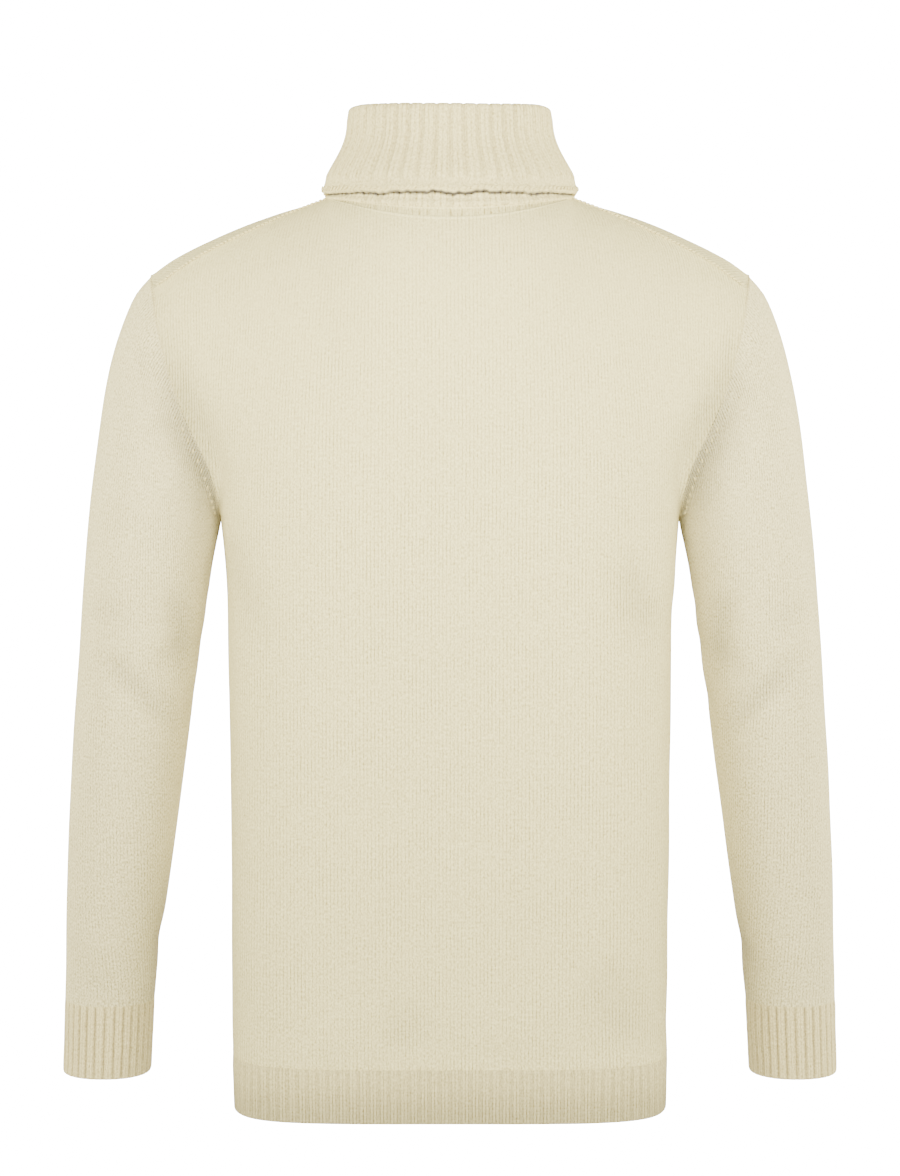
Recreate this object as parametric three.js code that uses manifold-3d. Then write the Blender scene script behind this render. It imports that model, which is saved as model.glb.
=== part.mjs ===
// Half-zip sweater: a worn, hollow knitted pullover with a tall rib collar turned down.
// Units are millimetres. +Z is up, the front faces -Y, the wearer's left is +X. The origin
// is the middle of the neck base, between the shoulders, where the wearer carries it.
import * as THREE from 'three';
import { mergeVertices } from 'three/addons/utils/BufferGeometryUtils.js';
import Module from 'manifold-3d';

const wasm = await Module();
wasm.setup();

const DEGREE = Math.PI / 180;

// Cloth
const SEAM_GAP = 0.3;
const KNIT_WALL = 2.4;
const RIB_WALL = 3;
const RIB_HEIGHT = 0.9;

// Lengths down the body and the sleeve
const HEM_BOTTOM = -691.5;
const HEM_TOP = -648.8;
const UNDERARM = -240;
const CUFF_TOP = -622;
const CUFF_BOTTOM = -681;

// Ribs round each trim, and fine points in one rib: two on the ridge, one in the valley
const HEM_RIBS_PER_SIDE = 62;
const HEM_RIB_SINK = 0.8;
const CUFF_RIBS = 32;
const COLLAR_RIBS = 40;
const RIB_POINTS = 3;
const RIDGE_SHARE = 0.5;

// Panel grids: columns from the middle to the side, rows below and above the underarm
const NECK_CELLS = 7;
const SHOULDER_CELLS = 7;
const HALF_COLUMNS = NECK_CELLS + SHOULDER_CELLS;
const BODY_ROWS = 7;
const ARMHOLE_STEP = 15 * DEGREE;

// Torso sections from hem to underarm. squareness is the superellipse power: 2 is an ellipse.
const TORSO = [
  { z: HEM_BOTTOM, halfWidth: 167, back: 97, front: 95, squareness: 4.8 },
  { z: -650, halfWidth: 167.6, back: 99, front: 97, squareness: 4.5 },
  { z: -520, halfWidth: 168, back: 101, front: 102, squareness: 3.9 },
  { z: -380, halfWidth: 169.2, back: 104, front: 110, squareness: 3.4 },
  { z: -300, halfWidth: 170.8, back: 106.4, front: 115.2, squareness: 3.15 },
  { z: -268, halfWidth: 172.4, back: 106.9, front: 116.7, squareness: 3.05 },
  { z: UNDERARM, halfWidth: 174.2, back: 107, front: 117, squareness: 3 },
];

// Sleeve rings from armhole to cuff: the outer and inner points, depth and forward swing.
const SLEEVE = [
  { ring: 0, outerX: 226.5, outerZ: -52.8, innerX: 175.4, innerZ: UNDERARM, halfDepth: 57, middleY: 2 },
  { ring: 1, outerX: 240.5, outerZ: -71.5, innerX: 176.4, innerZ: -245, halfDepth: 59.5, middleY: 1 },
  { ring: 2, outerX: 252.5, outerZ: -101, innerX: 178.2, innerZ: -253, halfDepth: 61, middleY: 0 },
  { ring: 3, outerX: 261.5, outerZ: -136, innerX: 180.6, innerZ: -264, halfDepth: 62, middleY: 0 },
  { ring: 4, outerX: 269.5, outerZ: -181, innerX: 184.2, innerZ: -283, halfDepth: 62, middleY: -1 },
  { ring: 5, outerX: 277.2, outerZ: -242, innerX: 189.6, innerZ: -320, halfDepth: 61, middleY: -3 },
  { ring: 6, outerX: 284.2, outerZ: -312, innerX: 197, innerZ: -370, halfDepth: 58.5, middleY: -6 },
  { ring: 7, outerX: 290.8, outerZ: -395, innerX: 206.2, innerZ: -433, halfDepth: 54, middleY: -10 },
  { ring: 8, outerX: 296.8, outerZ: -480, innerX: 216.6, innerZ: -505, halfDepth: 48, middleY: -16 },
  { ring: 9, outerX: 301, outerZ: -566, innerX: 227.2, innerZ: -578, halfDepth: 41, middleY: -23 },
  { ring: 10, outerX: 303.2, outerZ: CUFF_TOP, innerX: 233, innerZ: CUFF_TOP, halfDepth: 35.4, middleY: -27 },
];
const CUFF_END = { outerX: 305.4, innerX: 236.6, halfDepth: 34, middleY: -29 };
const SLEEVE_SQUARENESS = 2.15;

// How far the armhole seam runs outside (+) or inside (-) the straight line from shoulder
// point to underarm, by its share of the way down.
const ARMHOLE_SWAY = [
  { down: 0, sway: 0 },
  { down: 0.3, sway: 3.6 },
  { down: 0.56, sway: 2.4 },
  { down: 0.74, sway: -4 },
  { down: 0.88, sway: -4.4 },
  { down: 1, sway: 0 },
];

// Shoulder seam: it leaves the crest near the neck and runs down behind it to the armhole,
// two steps round from the shoulder point. Height by share of the way from the neck.
const SHOULDER_SEAM = [
  { out: 0, z: 4 },
  { out: 0.25, z: -9 },
  { out: 0.5, z: -24 },
  { out: 0.75, z: -41 },
  { out: 1, z: -64 },
];
const SHOULDER_END_TURN = 2 * ARMHOLE_STEP;
const SHOULDER_BOW = 3;

// How the panels rise from the underarm: each column goes straight up at first, for a share
// of its rise, and arrives at the top with a lean that it has for the length of its reach.
const STRAIGHT_RISE = 0.58;
const NECK_LEAN = { along: 0.57, up: 0.82 };
const SHOULDER_LEAN = { inward: 0.3, along: 0.95, up: 1.5 };
const REACH = 46;
const FRONT_SHOULDER_REACH = 60;
const BEYOND_CREST = 0.16;
const SEAM_PULL_POWER = 4;
const CHEST_SWELL = 2.5;
const SPREAD_STEP = 0.002;
const SOFTENING_PASSES = 5;
const SOFTENING_ROWS = 8;
const SOFTENING_COLUMNS = 3;

// Neck ring: radius at the side, and how much less it reaches behind and in front
const NECK_RADIUS = 93;
const BACK_SHORTER = 20;
const FRONT_SHORTER = 13;
const NECK_SIDE_Z = 4;
const NECK_BACK_DROP = 7.6;
const NECK_FRONT_DROP = 68;
const FOLD_FRONT_DROP = 50;
const FRONT_DROP_POWER = 1.6;
const SHOULDER_SEAM_TURN = 77 * DEGREE;

// Collar: the line between stand and leaf, by height above the neck base
const COLLAR_LINE = [
  { z: 3, radius: 93.6 },
  { z: 9, radius: 92.6 },
  { z: 17, radius: 90 },
  { z: 24, radius: 86.4 },
  { z: 32, radius: 81.8 },
  { z: 39, radius: 78.2 },
  { z: 47, radius: 75.2 },
  { z: 55, radius: 73.6 },
  { z: 68.6, radius: 72.6 },
];
const COLLAR_GAP = 1.3;
const STAND_HEIGHTS = [20, 42, 68.6];
const FOLD_TURNS = [45, 90, 135];
const LEAF_BOTTOM = 6;
const LEAF_HEIGHTS = [68.6, 54, 43, 32, 20, LEAF_BOTTOM];
const PLAIN_EDGE = 12;
const FOLD_HALF_GAP = 27;
const FOLD_OPENING = 2;
const LEAF_HALF_GAP = 40;

// Zip
const SLIT_HALF_WIDTH = 5;
const SLIT_COLUMN_SHARE = 0.012;
const SLIT_COLUMNS = 4;
const SLIT_POWER = 1.3;
const NECK_HALF_GAP = 15;
const SLIDER_Z = -118;
const TAPE_THICKNESS = 0.8;
const TAPE_CLEARANCE = SEAM_GAP + 0.15;
const TAPE_UNDER_CLOTH = 9;
const TAPE_SHOWING = 3.8;
const TAPE_TAIL = 8;

const vec = (x, y, z) => new THREE.Vector3(x, y, z);
const mix = (a, b, t) => a + (b - a) * t;
const ease = (t) => t * t * (3 - 2 * t);
const clamp01 = (t) => Math.min(1, Math.max(0, t));

/** One row worked out from a table, by a smooth curve through each named column. */
function rowAt(table, key, at) {
  const last = table.length - 1;
  let k = 0;
  while (k < last - 1 && at > table[k + 1][key]) k += 1;
  const span = table[k + 1][key] - table[k][key];
  const t = clamp01((at - table[k][key]) / span);
  const slope = (i, name) => {
    const before = Math.max(0, i - 1);
    const after = Math.min(last, i + 1);
    return (table[after][name] - table[before][name]) / (table[after][key] - table[before][key]);
  };
  const row = {};
  for (const name of Object.keys(table[0])) {
    const [p, q] = [table[k][name], table[k + 1][name]];
    const [u, v] = [slope(k, name) * span, slope(k + 1, name) * span];
    row[name] = p + t * (u + t * (3 * (q - p) - 2 * u - v + t * (2 * (p - q) + u + v)));
  }
  return row;
}

/**
 * Half of a superellipse from its +X end over +Y to its -X end. The returned function gives
 * the point and the outward normal at a share of the arc length.
 */
function halfOval(halfWidth, depth, power) {
  const steps = 240;
  const points = [];
  for (let i = 0; i <= steps; i += 1) {
    const turn = (Math.PI * i) / steps;
    const [c, s] = [Math.cos(turn), Math.sin(turn)];
    const x = halfWidth * Math.sign(c) * Math.abs(c) ** (2 / power);
    points.push({ x, y: depth * Math.max(s, 0) ** (2 / power), length: 0 });
    if (i > 0) {
      const before = points[i - 1];
      points[i].length = before.length + Math.hypot(x - before.x, points[i].y - before.y);
    }
  }
  points[0].y = 0;
  points[steps].y = 0;
  const total = points[steps].length;
  return (share) => {
    const length = clamp01(share) * total;
    let k = 1;
    while (k < steps && points[k].length < length) k += 1;
    const t = (length - points[k - 1].length) / (points[k].length - points[k - 1].length);
    const x = mix(points[k - 1].x, points[k].x, t);
    const y = mix(points[k - 1].y, points[k].y, t);
    const nx = (Math.sign(x) * Math.abs(x / halfWidth) ** (power - 1)) / halfWidth;
    const ny = (y / depth) ** (power - 1) / depth;
    const size = Math.hypot(nx, ny);
    return { x, y, nx: nx / size, ny: ny / size };
  };
}

/** Closed body from points and triangles, turned so that its faces point outwards. */
function bodyOf(points, triangles) {
  let volume = 0;
  const cross = vec(0, 0, 0);
  for (const [a, b, c] of triangles) {
    volume += points[a].dot(cross.crossVectors(points[b], points[c]));
  }
  const order = volume > 0 ? triangles : triangles.map(([a, b, c]) => [a, c, b]);
  const geometry = new THREE.BufferGeometry();
  const flat = points.flatMap((p) => [p.x, p.y, p.z]);
  geometry.setAttribute('position', new THREE.Float32BufferAttribute(flat, 3));
  geometry.setIndex(order.flat());
  geometry.computeVertexNormals();
  return geometry;
}

/**
 * Wall between two grids of points, rows by columns. The outer grid may have `fine` columns
 * for each inner one. A closed wall joins its last column to its first. `hole` says which
 * cells are left open.
 */
function wallOf(outer, inner, { fine = 1, closed = false, hole = () => false } = {}) {
  const rows = outer.length;
  const outerColumns = outer[0].length;
  const innerColumns = inner[0].length;
  const cells = closed ? innerColumns : innerColumns - 1;
  const points = [...outer.flat(), ...inner.flat()];
  const out = (i, j) => i * outerColumns + (j % outerColumns);
  const into = (i, j) => rows * outerColumns + i * innerColumns + (j % innerColumns);
  const triangles = [];
  const quad = (a, b, c, d) => triangles.push([a, b, c], [a, c, d]);
  const open = (i, j) => {
    if (i < 0 || i >= rows - 1) return true;
    if (!closed && (j < 0 || j >= cells)) return true;
    return hole(i, j);
  };
  for (let i = 0; i < rows - 1; i += 1) {
    for (let j = 0; j < cells; j += 1) {
      if (open(i, j)) continue;
      for (let k = j * fine; k < (j + 1) * fine; k += 1) {
        quad(out(i, k), out(i, k + 1), out(i + 1, k + 1), out(i + 1, k));
      }
      quad(into(i, j + 1), into(i, j), into(i + 1, j), into(i + 1, j + 1));
      for (const [row, beyond, up] of [[i, i - 1, false], [i + 1, i + 1, true]]) {
        if (!open(beyond, j)) continue;
        const rim = [into(row, j)];
        for (let k = j * fine; k <= (j + 1) * fine; k += 1) rim.push(out(row, k));
        rim.push(into(row, j + 1));
        for (let k = 1; k < rim.length - 1; k += 1) {
          triangles.push(up ? [rim[0], rim[k], rim[k + 1]] : [rim[0], rim[k + 1], rim[k]]);
        }
      }
      if (!closed || fine === 1) {
        if (open(i, j - 1)) {
          quad(into(i, j), out(i, j * fine), out(i + 1, j * fine), into(i + 1, j));
        }
        if (open(i, j + 1)) {
          const k = (j + 1) * fine;
          quad(out(i, k), into(i, j + 1), into(i + 1, j + 1), out(i + 1, k));
        }
      }
    }
  }
  return bodyOf(points, triangles);
}

/** Share along `count` ribs of each fine point, with how high it stands there (0 or 1). */
function ribPoints(count, closed) {
  const points = [];
  for (let rib = 0; rib < count; rib += 1) {
    points.push({ share: rib / count, height: 0 });
    points.push({ share: (rib + 0.5 - RIDGE_SHARE / 2) / count, height: 1 });
    points.push({ share: (rib + 0.5 + RIDGE_SHARE / 2) / count, height: 1 });
  }
  if (!closed) points.push({ share: 1, height: 0 });
  return points;
}

// ---- Armhole and sleeve rings ----

/** Point and outward normal on a sleeve ring; turn 0 is the outer point, +90 degrees the back. */
function sleevePoint(row, turn, power = SLEEVE_SQUARENESS) {
  const [c, s] = [Math.cos(turn), Math.sin(turn)];
  const along = Math.sign(c) * Math.abs(c) ** (2 / power);
  const across = Math.sign(s) * Math.abs(s) ** (2 / power);
  const half = vec((row.outerX - row.innerX) / 2, 0, (row.outerZ - row.innerZ) / 2);
  const middle = vec((row.outerX + row.innerX) / 2, row.middleY, (row.outerZ + row.innerZ) / 2);
  const point = middle.clone().addScaledVector(half, along);
  point.y += across * row.halfDepth;
  const steep = (Math.sign(c) * Math.abs(along) ** (power - 1)) / half.lengthSq();
  const normal = half.clone().multiplyScalar(steep);
  normal.y += (Math.sign(s) * Math.abs(across) ** (power - 1)) / row.halfDepth;
  return { point, normal: normal.normalize() };
}

/** How far the seam sways at a turn of the armhole. */
function swayAt(turn) {
  const down = (1 - Math.sign(Math.cos(turn)) * Math.abs(Math.cos(turn)) ** (2 / SLEEVE_SQUARENESS)) / 2;
  return rowAt(ARMHOLE_SWAY, 'down', down).sway;
}

/** Point on the left armhole seam. */
function armhole(turn) {
  const at = sleevePoint(SLEEVE[0], turn);
  at.point.x += swayAt(turn);
  return at;
}

const armholeOut = (() => {
  const first = SLEEVE[0];
  return vec(first.outerZ - first.innerZ, 0, first.innerX - first.outerX).normalize();
})();

// ---- Neck ring and shoulder seam ----

/** How much lower the front of a neck ring lies at a turn from the centre back. */
const frontDip = (turn) => Math.max(0, -Math.cos(turn)) ** FRONT_DROP_POWER;

/** Point at a radius and height on the rings round the neck; turn 0 is the centre back. */
function neckRing(radius, z, turn) {
  const shorter = Math.cos(turn) > 0 ? BACK_SHORTER : FRONT_SHORTER;
  return vec(radius * Math.sin(turn), (radius - shorter) * Math.cos(turn), z);
}

/** Point on the neck seam. */
function neckSeam(turn) {
  const back = NECK_BACK_DROP * Math.max(0, Math.cos(turn)) ** 2;
  return neckRing(NECK_RADIUS, NECK_SIDE_Z - back - NECK_FRONT_DROP * frontDip(turn), turn);
}

const NECK_END_TURN = Math.PI - Math.asin(NECK_HALF_GAP / NECK_RADIUS);

/** Turns at which the panels' necklines have their points, from the centre back to the slit. */
const neckTurns = [];
for (let j = 0; j <= NECK_CELLS; j += 1) neckTurns.push((SHOULDER_SEAM_TURN * j) / NECK_CELLS);
for (let j = 1; j < NECK_CELLS; j += 1) {
  neckTurns.push(mix(SHOULDER_SEAM_TURN, NECK_END_TURN, j / (NECK_CELLS - 1)));
}

/** Point on the neck seam as the panels' straight edges run. */
function neckEdge(turn) {
  const bare = Math.abs(turn);
  let k = 0;
  while (k < neckTurns.length - 2 && bare > neckTurns[k + 1]) k += 1;
  const t = (bare - neckTurns[k]) / (neckTurns[k + 1] - neckTurns[k]);
  const point = neckSeam(neckTurns[k]).lerp(neckSeam(neckTurns[k + 1]), t);
  point.x *= Math.sign(turn) || 1;
  return point;
}

/** Point on the left shoulder seam at a share of the way from neck to armhole. */
function shoulderSeam(out) {
  const from = neckSeam(SHOULDER_SEAM_TURN);
  const to = armhole(SHOULDER_END_TURN).point;
  const point = from.clone().lerp(to, out);
  point.y += SHOULDER_BOW * Math.sin(Math.PI * out);
  point.z = out === 1 ? to.z : rowAt(SHOULDER_SEAM, 'out', out).z;
  return point;
}

// ---- Front and back panels ----

const torsoAt = (z) => rowAt(TORSO, 'z', z);

/** Direction in which a panel reaches the shoulder seam at a share of the way from the neck. */
function shoulderLean(side, out) {
  const { inward, along, up } = SHOULDER_LEAN;
  return vec(-inward * (1 - out) ** 3, -side * along, side * up * out);
}

/** Cubic arc that rises straight up from `foot` and reaches `top` along `lean`. */
function riser(foot, top, lean, reach, v) {
  const rise = (top.z - foot.z) * STRAIGHT_RISE;
  const first = foot.clone().add(vec(0, 0, rise));
  const second = top.clone().addScaledVector(lean, -reach);
  const u = 1 - v;
  return foot.clone().multiplyScalar(u * u * u)
    .addScaledVector(first, 3 * u * u * v)
    .addScaledVector(second, 3 * u * v * v)
    .addScaledVector(top, v * v * v);
}

/** Half width of the zip slit at a height: even up to the slider, then opening to the neck. */
function slitHalfWidth(z) {
  const neckFront = NECK_SIDE_Z - NECK_FRONT_DROP;
  const open = clamp01((z - SLIDER_Z) / (neckFront - SLIDER_Z));
  return mix(SLIT_HALF_WIDTH, NECK_HALF_GAP, open ** SLIT_POWER);
}

/**
 * Outer points of the left half of a panel, from the middle to the side, rows from the rib
 * up. `side` is +1 for the back and -1 for the front.
 */
function halfPanel(side) {
  const isFront = side < 0;
  const columns = [];
  for (let j = isFront ? 1 : 0; j <= HALF_COLUMNS; j += 1) {
    const share = isFront
      ? mix(SLIT_COLUMN_SHARE, 1, (j - 1) / (HALF_COLUMNS - 1))
      : j / HALF_COLUMNS;
    const inNeck = j <= NECK_CELLS;
    const neckShare = isFront ? (NECK_CELLS - j) / (NECK_CELLS - 1) : j / NECK_CELLS;
    const turn = isFront
      ? mix(SHOULDER_SEAM_TURN, NECK_END_TURN, neckShare)
      : SHOULDER_SEAM_TURN * neckShare;
    const out = clamp01((j - NECK_CELLS) / SHOULDER_CELLS);
    const top = inNeck ? neckSeam(turn) : shoulderSeam(out);
    const sideways = inNeck ? Math.sin(turn) ** 2 : 1;
    const lean = vec(0, -side * NECK_LEAN.along, NECK_LEAN.up)
      .lerp(shoulderLean(side, out), sideways)
      .normalize();
    const reach = mix(REACH, isFront ? FRONT_SHOULDER_REACH : REACH, sideways);
    columns.push({ share, top, lean, reach });
  }
  const rows = [];
  const bodyBottom = HEM_TOP + SEAM_GAP;
  const addRow = (z, spread, place) => {
    const torso = torsoAt(z);
    const depth = isFront ? torso.front : torso.back;
    const oval = halfOval(torso.halfWidth, depth, torso.squareness);
    rows.push(columns.map((column) => {
      const at = oval((1 - column.share * spread) / 2);
      const point = vec(at.x, side * at.y, z);
      if (isFront && column === columns[0]) point.x = SLIT_HALF_WIDTH;
      return place(point, column);
    }));
  };
  for (let i = 0; i < BODY_ROWS; i += 1) {
    addRow(mix(bodyBottom, UNDERARM, i / BODY_ROWS), 1, (point) => point);
  }
  const count = Math.round((Math.PI - side * SHOULDER_END_TURN) / ARMHOLE_STEP);
  const height = (turn) => (armhole(turn).point.z - UNDERARM) / (armhole(0).point.z - UNDERARM);
  const underarm = torsoAt(UNDERARM);
  const depth = isFront ? underarm.front : underarm.back;
  const underarmOval = halfOval(underarm.halfWidth, depth, underarm.squareness);
  let spread = 1;
  for (let i = 0; i <= count; i += 1) {
    const turn = side * (Math.PI - ARMHOLE_STEP * i);
    const seam = armhole(turn).point;
    let v = height(turn) / height(SHOULDER_END_TURN);
    if (isFront && turn > 1e-9) {
      v = 1 - BEYOND_CREST * (1 - turn / SHOULDER_END_TURN);
    } else if (isFront) {
      v = height(turn) * (1 - BEYOND_CREST);
    }
    const belowHalfWay = Math.abs(turn) > Math.PI / 2 - 0.01;
    while (i > 0 && belowHalfWay && underarmOval((1 - spread) / 2).y < Math.abs(seam.y)) {
      spread -= SPREAD_STEP;
    }
    const edge = columns[columns.length - 1];
    const foot = underarmOval((1 - spread) / 2);
    const edgeFoot = vec(foot.x, side * foot.y, UNDERARM);
    const pull = seam.clone().sub(riser(edgeFoot, edge.top, edge.lean, edge.reach, v));
    const swell = side * CHEST_SWELL * 16 * v ** 2 * (1 - v) ** 2;
    addRow(UNDERARM, spread, (from, column) => {
      const point = riser(from, column.top, column.lean, column.reach, v);
      point.addScaledVector(pull, column.share ** SEAM_PULL_POWER);
      point.y += swell * (1 - column.share ** 2);
      return point;
    });
  }
  if (isFront) {
    for (const row of rows.slice(BODY_ROWS)) {
      const shift = slitHalfWidth(row[0].z) - row[0].x;
      for (let j = 0; j < SLIT_COLUMNS; j += 1) {
        row[j].x += shift * (1 - j / SLIT_COLUMNS);
      }
    }
  }
  return rows;
}

/** Normals of a grid of points by differences, pointing to the given side at its middle. */
function gridNormals(grid, side) {
  const rows = grid.length;
  const columns = grid[0].length;
  const normals = grid.map((row, i) => row.map((_, j) => {
    const across = grid[i][Math.min(columns - 1, j + 1)].clone().sub(grid[i][Math.max(0, j - 1)]);
    const along = grid[Math.min(rows - 1, i + 1)][j].clone().sub(grid[Math.max(0, i - 1)][j]);
    return across.cross(along).normalize();
  }));
  const middle = normals[Math.floor(rows / 3)][Math.floor(columns / 2)];
  if (middle.y * side < 0) normals.flat().forEach((normal) => normal.negate());
  return normals;
}

/**
 * Evens out depth and height across the rows near the shoulders. It fades out down to the
 * underarm and towards the middle, and the edges keep their place.
 */
function soften(grid) {
  const last = grid[0].length - 1;
  for (let i = BODY_ROWS + 1; i < grid.length - 1; i += 1) {
    const row = grid[i];
    const nearSeam = i === grid.length - 2 ? 0.5 : 1;
    const high = ease(clamp01((i - BODY_ROWS) / SOFTENING_ROWS)) * nearSeam;
    for (let pass = 0; pass < SOFTENING_PASSES; pass += 1) {
      const before = row.map((p) => p.clone());
      for (let j = 1; j < last; j += 1) {
        const sideways = clamp01(Math.abs(j - last / 2) / SOFTENING_COLUMNS - 1);
        const even = before[j - 1].clone().add(before[j + 1]).divideScalar(2);
        row[j].y = mix(row[j].y, even.y, 0.5 * high * sideways);
        row[j].z = mix(row[j].z, even.z, 0.5 * high * sideways);
      }
    }
  }
}

/** Outer and inner points of a whole panel, set back by half the seam gap at its edges. */
function panel(side) {
  const isFront = side < 0;
  const half = halfPanel(side);
  const mirrored = half.map((row) => row.map((p) => vec(-p.x, p.y, p.z)).reverse());
  const grid = half.map((row, i) => [...mirrored[i], ...(isFront ? row : row.slice(1))]);
  soften(grid);
  const normals = gridNormals(grid, side);
  const last = grid[0].length - 1;
  const back = SEAM_GAP / 2;
  grid.forEach((row, i) => {
    const upper = i - BODY_ROWS;
    for (const j of [0, last]) {
      const mirror = j === 0 ? -1 : 1;
      if (upper < 0) {
        normals[i][j].set(mirror, 0, 0);
        row[j].y += side * back;
      } else {
        const turn = side * (Math.PI - ARMHOLE_STEP * upper);
        const seam = armhole(turn);
        normals[i][j].set(mirror * seam.normal.x, seam.normal.y, seam.normal.z);
        row[j].addScaledVector(vec(mirror * armholeOut.x, 0, armholeOut.z), -back);
        if (upper === 0) row[j].y += side * back;
      }
    }
  });
  const top = grid[grid.length - 1];
  const topNormals = normals[grid.length - 1];
  for (let j = 0; j < SHOULDER_CELLS + 1; j += 1) {
    const lean = shoulderLean(side, 1 - j / SHOULDER_CELLS).setX(0).normalize();
    for (const k of [j, last - j]) {
      const next = top[Math.min(last, k + 1)].clone().sub(top[Math.max(0, k - 1)]);
      const normal = lean.clone().cross(next).normalize();
      if (normal.z < 0) normal.negate();
      if (k !== 0 && k !== last) topNormals[k].copy(normal);
      top[k].addScaledVector(lean, -back);
    }
  }
  const inner = grid.map((row, i) => row.map((point, j) => (
    point.clone().addScaledVector(normals[i][j], -KNIT_WALL)
  )));
  return { outer: grid, inner, normals };
}

const backPanel = panel(1);
const frontPanel = panel(-1);
const slitCell = HALF_COLUMNS - 1;

// ---- Sleeves and cuffs ----

/** Wall of a sleeve: rings from the armhole to the cuff. `mirror` is +1 for the wearer's left. */
function sleeve(mirror) {
  const turns = Math.round((2 * Math.PI) / ARMHOLE_STEP);
  const stations = [0, 0.5, 1, 1.6, 2.3, 3.1, 4, 5, 6, 7, 8, 9, 10];
  const outer = [];
  const inner = [];
  for (const ring of stations) {
    const row = rowAt(SLEEVE, 'ring', ring);
    const fade = (1 - clamp01(ring / 3)) ** 2;
    const points = [];
    const behind = [];
    for (let k = 0; k < turns; k += 1) {
      const turn = k * ARMHOLE_STEP;
      const { point, normal } = sleevePoint(row, turn);
      point.x += swayAt(turn) * fade;
      if (ring === 0) point.addScaledVector(armholeOut, SEAM_GAP / 2);
      const under = point.clone().addScaledVector(normal, -KNIT_WALL);
      points.push(vec(mirror * point.x, point.y, point.z));
      behind.push(vec(mirror * under.x, under.y, under.z));
    }
    outer.push(points);
    inner.push(behind);
  }
  return wallOf(outer, inner, { closed: true });
}

/** Rib tube at the end of a sleeve. */
function cuff(mirror) {
  const outer = [];
  const inner = [];
  const ribs = ribPoints(CUFF_RIBS, true);
  for (const share of [0, 0.5, 1]) {
    const z = mix(CUFF_TOP - SEAM_GAP, CUFF_BOTTOM, share);
    const start = SLEEVE[SLEEVE.length - 1];
    const row = { outerZ: z, innerZ: z };
    for (const name of ['outerX', 'innerX', 'halfDepth', 'middleY']) {
      row[name] = mix(start[name], CUFF_END[name], share);
    }
    const place = (at, offset) => {
      const { point, normal } = sleevePoint(row, 2 * Math.PI * at);
      point.addScaledVector(normal, offset);
      return vec(mirror * point.x, point.y, point.z);
    };
    outer.push(ribs.map((rib) => place(rib.share, RIB_HEIGHT * (rib.height - 1))));
    inner.push(ribs.filter((rib) => rib.height === 0).map((rib) => place(rib.share, -RIB_WALL)));
  }
  return wallOf(outer, inner, { closed: true, fine: RIB_POINTS });
}

// ---- Hem ribs ----

/** Rib band along the bottom of a panel. */
function hemRib(side) {
  const ribs = ribPoints(HEM_RIBS_PER_SIDE, false);
  const outer = [];
  const inner = [];
  for (const z of [HEM_BOTTOM, HEM_TOP]) {
    const torso = torsoAt(z);
    const depth = side > 0 ? torso.back : torso.front;
    const oval = halfOval(torso.halfWidth, depth, torso.squareness);
    const place = (share, offset) => {
      const at = oval(share);
      const set = share === 0 || share === 1 ? SEAM_GAP / 2 : 0;
      return vec(at.x + at.nx * offset, side * (at.y + at.ny * offset + set), z);
    };
    outer.push(ribs.map((rib) => place(rib.share, RIB_HEIGHT * (rib.height - HEM_RIB_SINK))));
    inner.push(ribs.filter((rib) => rib.height === 0).map((rib) => place(rib.share, -RIB_WALL)));
  }
  return wallOf(outer, inner, { fine: RIB_POINTS });
}

// ---- Collar ----

/** Radius and slope of the line between stand and leaf at a height. */
function collarLine(z) {
  const step = 0.5;
  const { radius } = rowAt(COLLAR_LINE, 'z', z);
  const above = rowAt(COLLAR_LINE, 'z', z + step).radius;
  const below = rowAt(COLLAR_LINE, 'z', z - step).radius;
  const slope = (above - below) / (2 * step);
  const size = Math.hypot(1, slope);
  return { radius, outR: 1 / size, outZ: -slope / size };
}

/**
 * Stations of the collar's section from the neck seam up the stand, over the fold and down
 * the leaf: the plain hidden face, and the direction of the ribbed face.
 */
const collarStations = [];
const foldTop = LEAF_HEIGHTS[0];
for (const z of STAND_HEIGHTS) {
  const line = collarLine(z);
  collarStations.push({
    radius: line.radius - (COLLAR_GAP / 2) * line.outR,
    z: z - (COLLAR_GAP / 2) * line.outZ,
    faceR: -line.outR,
    faceZ: -line.outZ,
    climb: z / foldTop,
    halfGap: mix(NECK_HALF_GAP, FOLD_HALF_GAP, z / foldTop),
  });
}
for (const degrees of FOLD_TURNS) {
  const turn = degrees * DEGREE;
  collarStations.push({
    radius: collarLine(foldTop).radius - (COLLAR_GAP / 2) * Math.cos(turn),
    z: foldTop + (COLLAR_GAP / 2) * Math.sin(turn),
    faceR: -Math.cos(turn),
    faceZ: Math.sin(turn),
    climb: 1,
    halfGap: FOLD_HALF_GAP + FOLD_OPENING * (degrees / 180),
  });
}
for (const z of LEAF_HEIGHTS) {
  const line = collarLine(z);
  const climb = (z - LEAF_BOTTOM) / (foldTop - LEAF_BOTTOM);
  collarStations.push({
    radius: line.radius + (COLLAR_GAP / 2) * line.outR,
    z: z + (COLLAR_GAP / 2) * line.outZ,
    faceR: line.outR,
    faceZ: line.outZ,
    climb: 1,
    halfGap: mix(LEAF_HALF_GAP, FOLD_HALF_GAP + FOLD_OPENING, climb),
  });
}

/** Point of the collar at a station, a turn from the centre back and a height off its hidden face. */
function collarPoint(station, turn, lift) {
  const drop = mix(NECK_FRONT_DROP, FOLD_FRONT_DROP, station.climb) * frontDip(turn);
  const radius = station.radius + station.faceR * lift;
  return neckRing(radius, station.z + station.faceZ * lift - drop, turn);
}

/** Point of the collar's lowest row, along the neck seam. */
function collarFoot(turn, lift) {
  const point = neckEdge(turn);
  const inward = vec(Math.sin(turn), Math.cos(turn), 0).multiplyScalar(-lift);
  return point.add(inward).add(vec(0, 0, SEAM_GAP));
}

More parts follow.
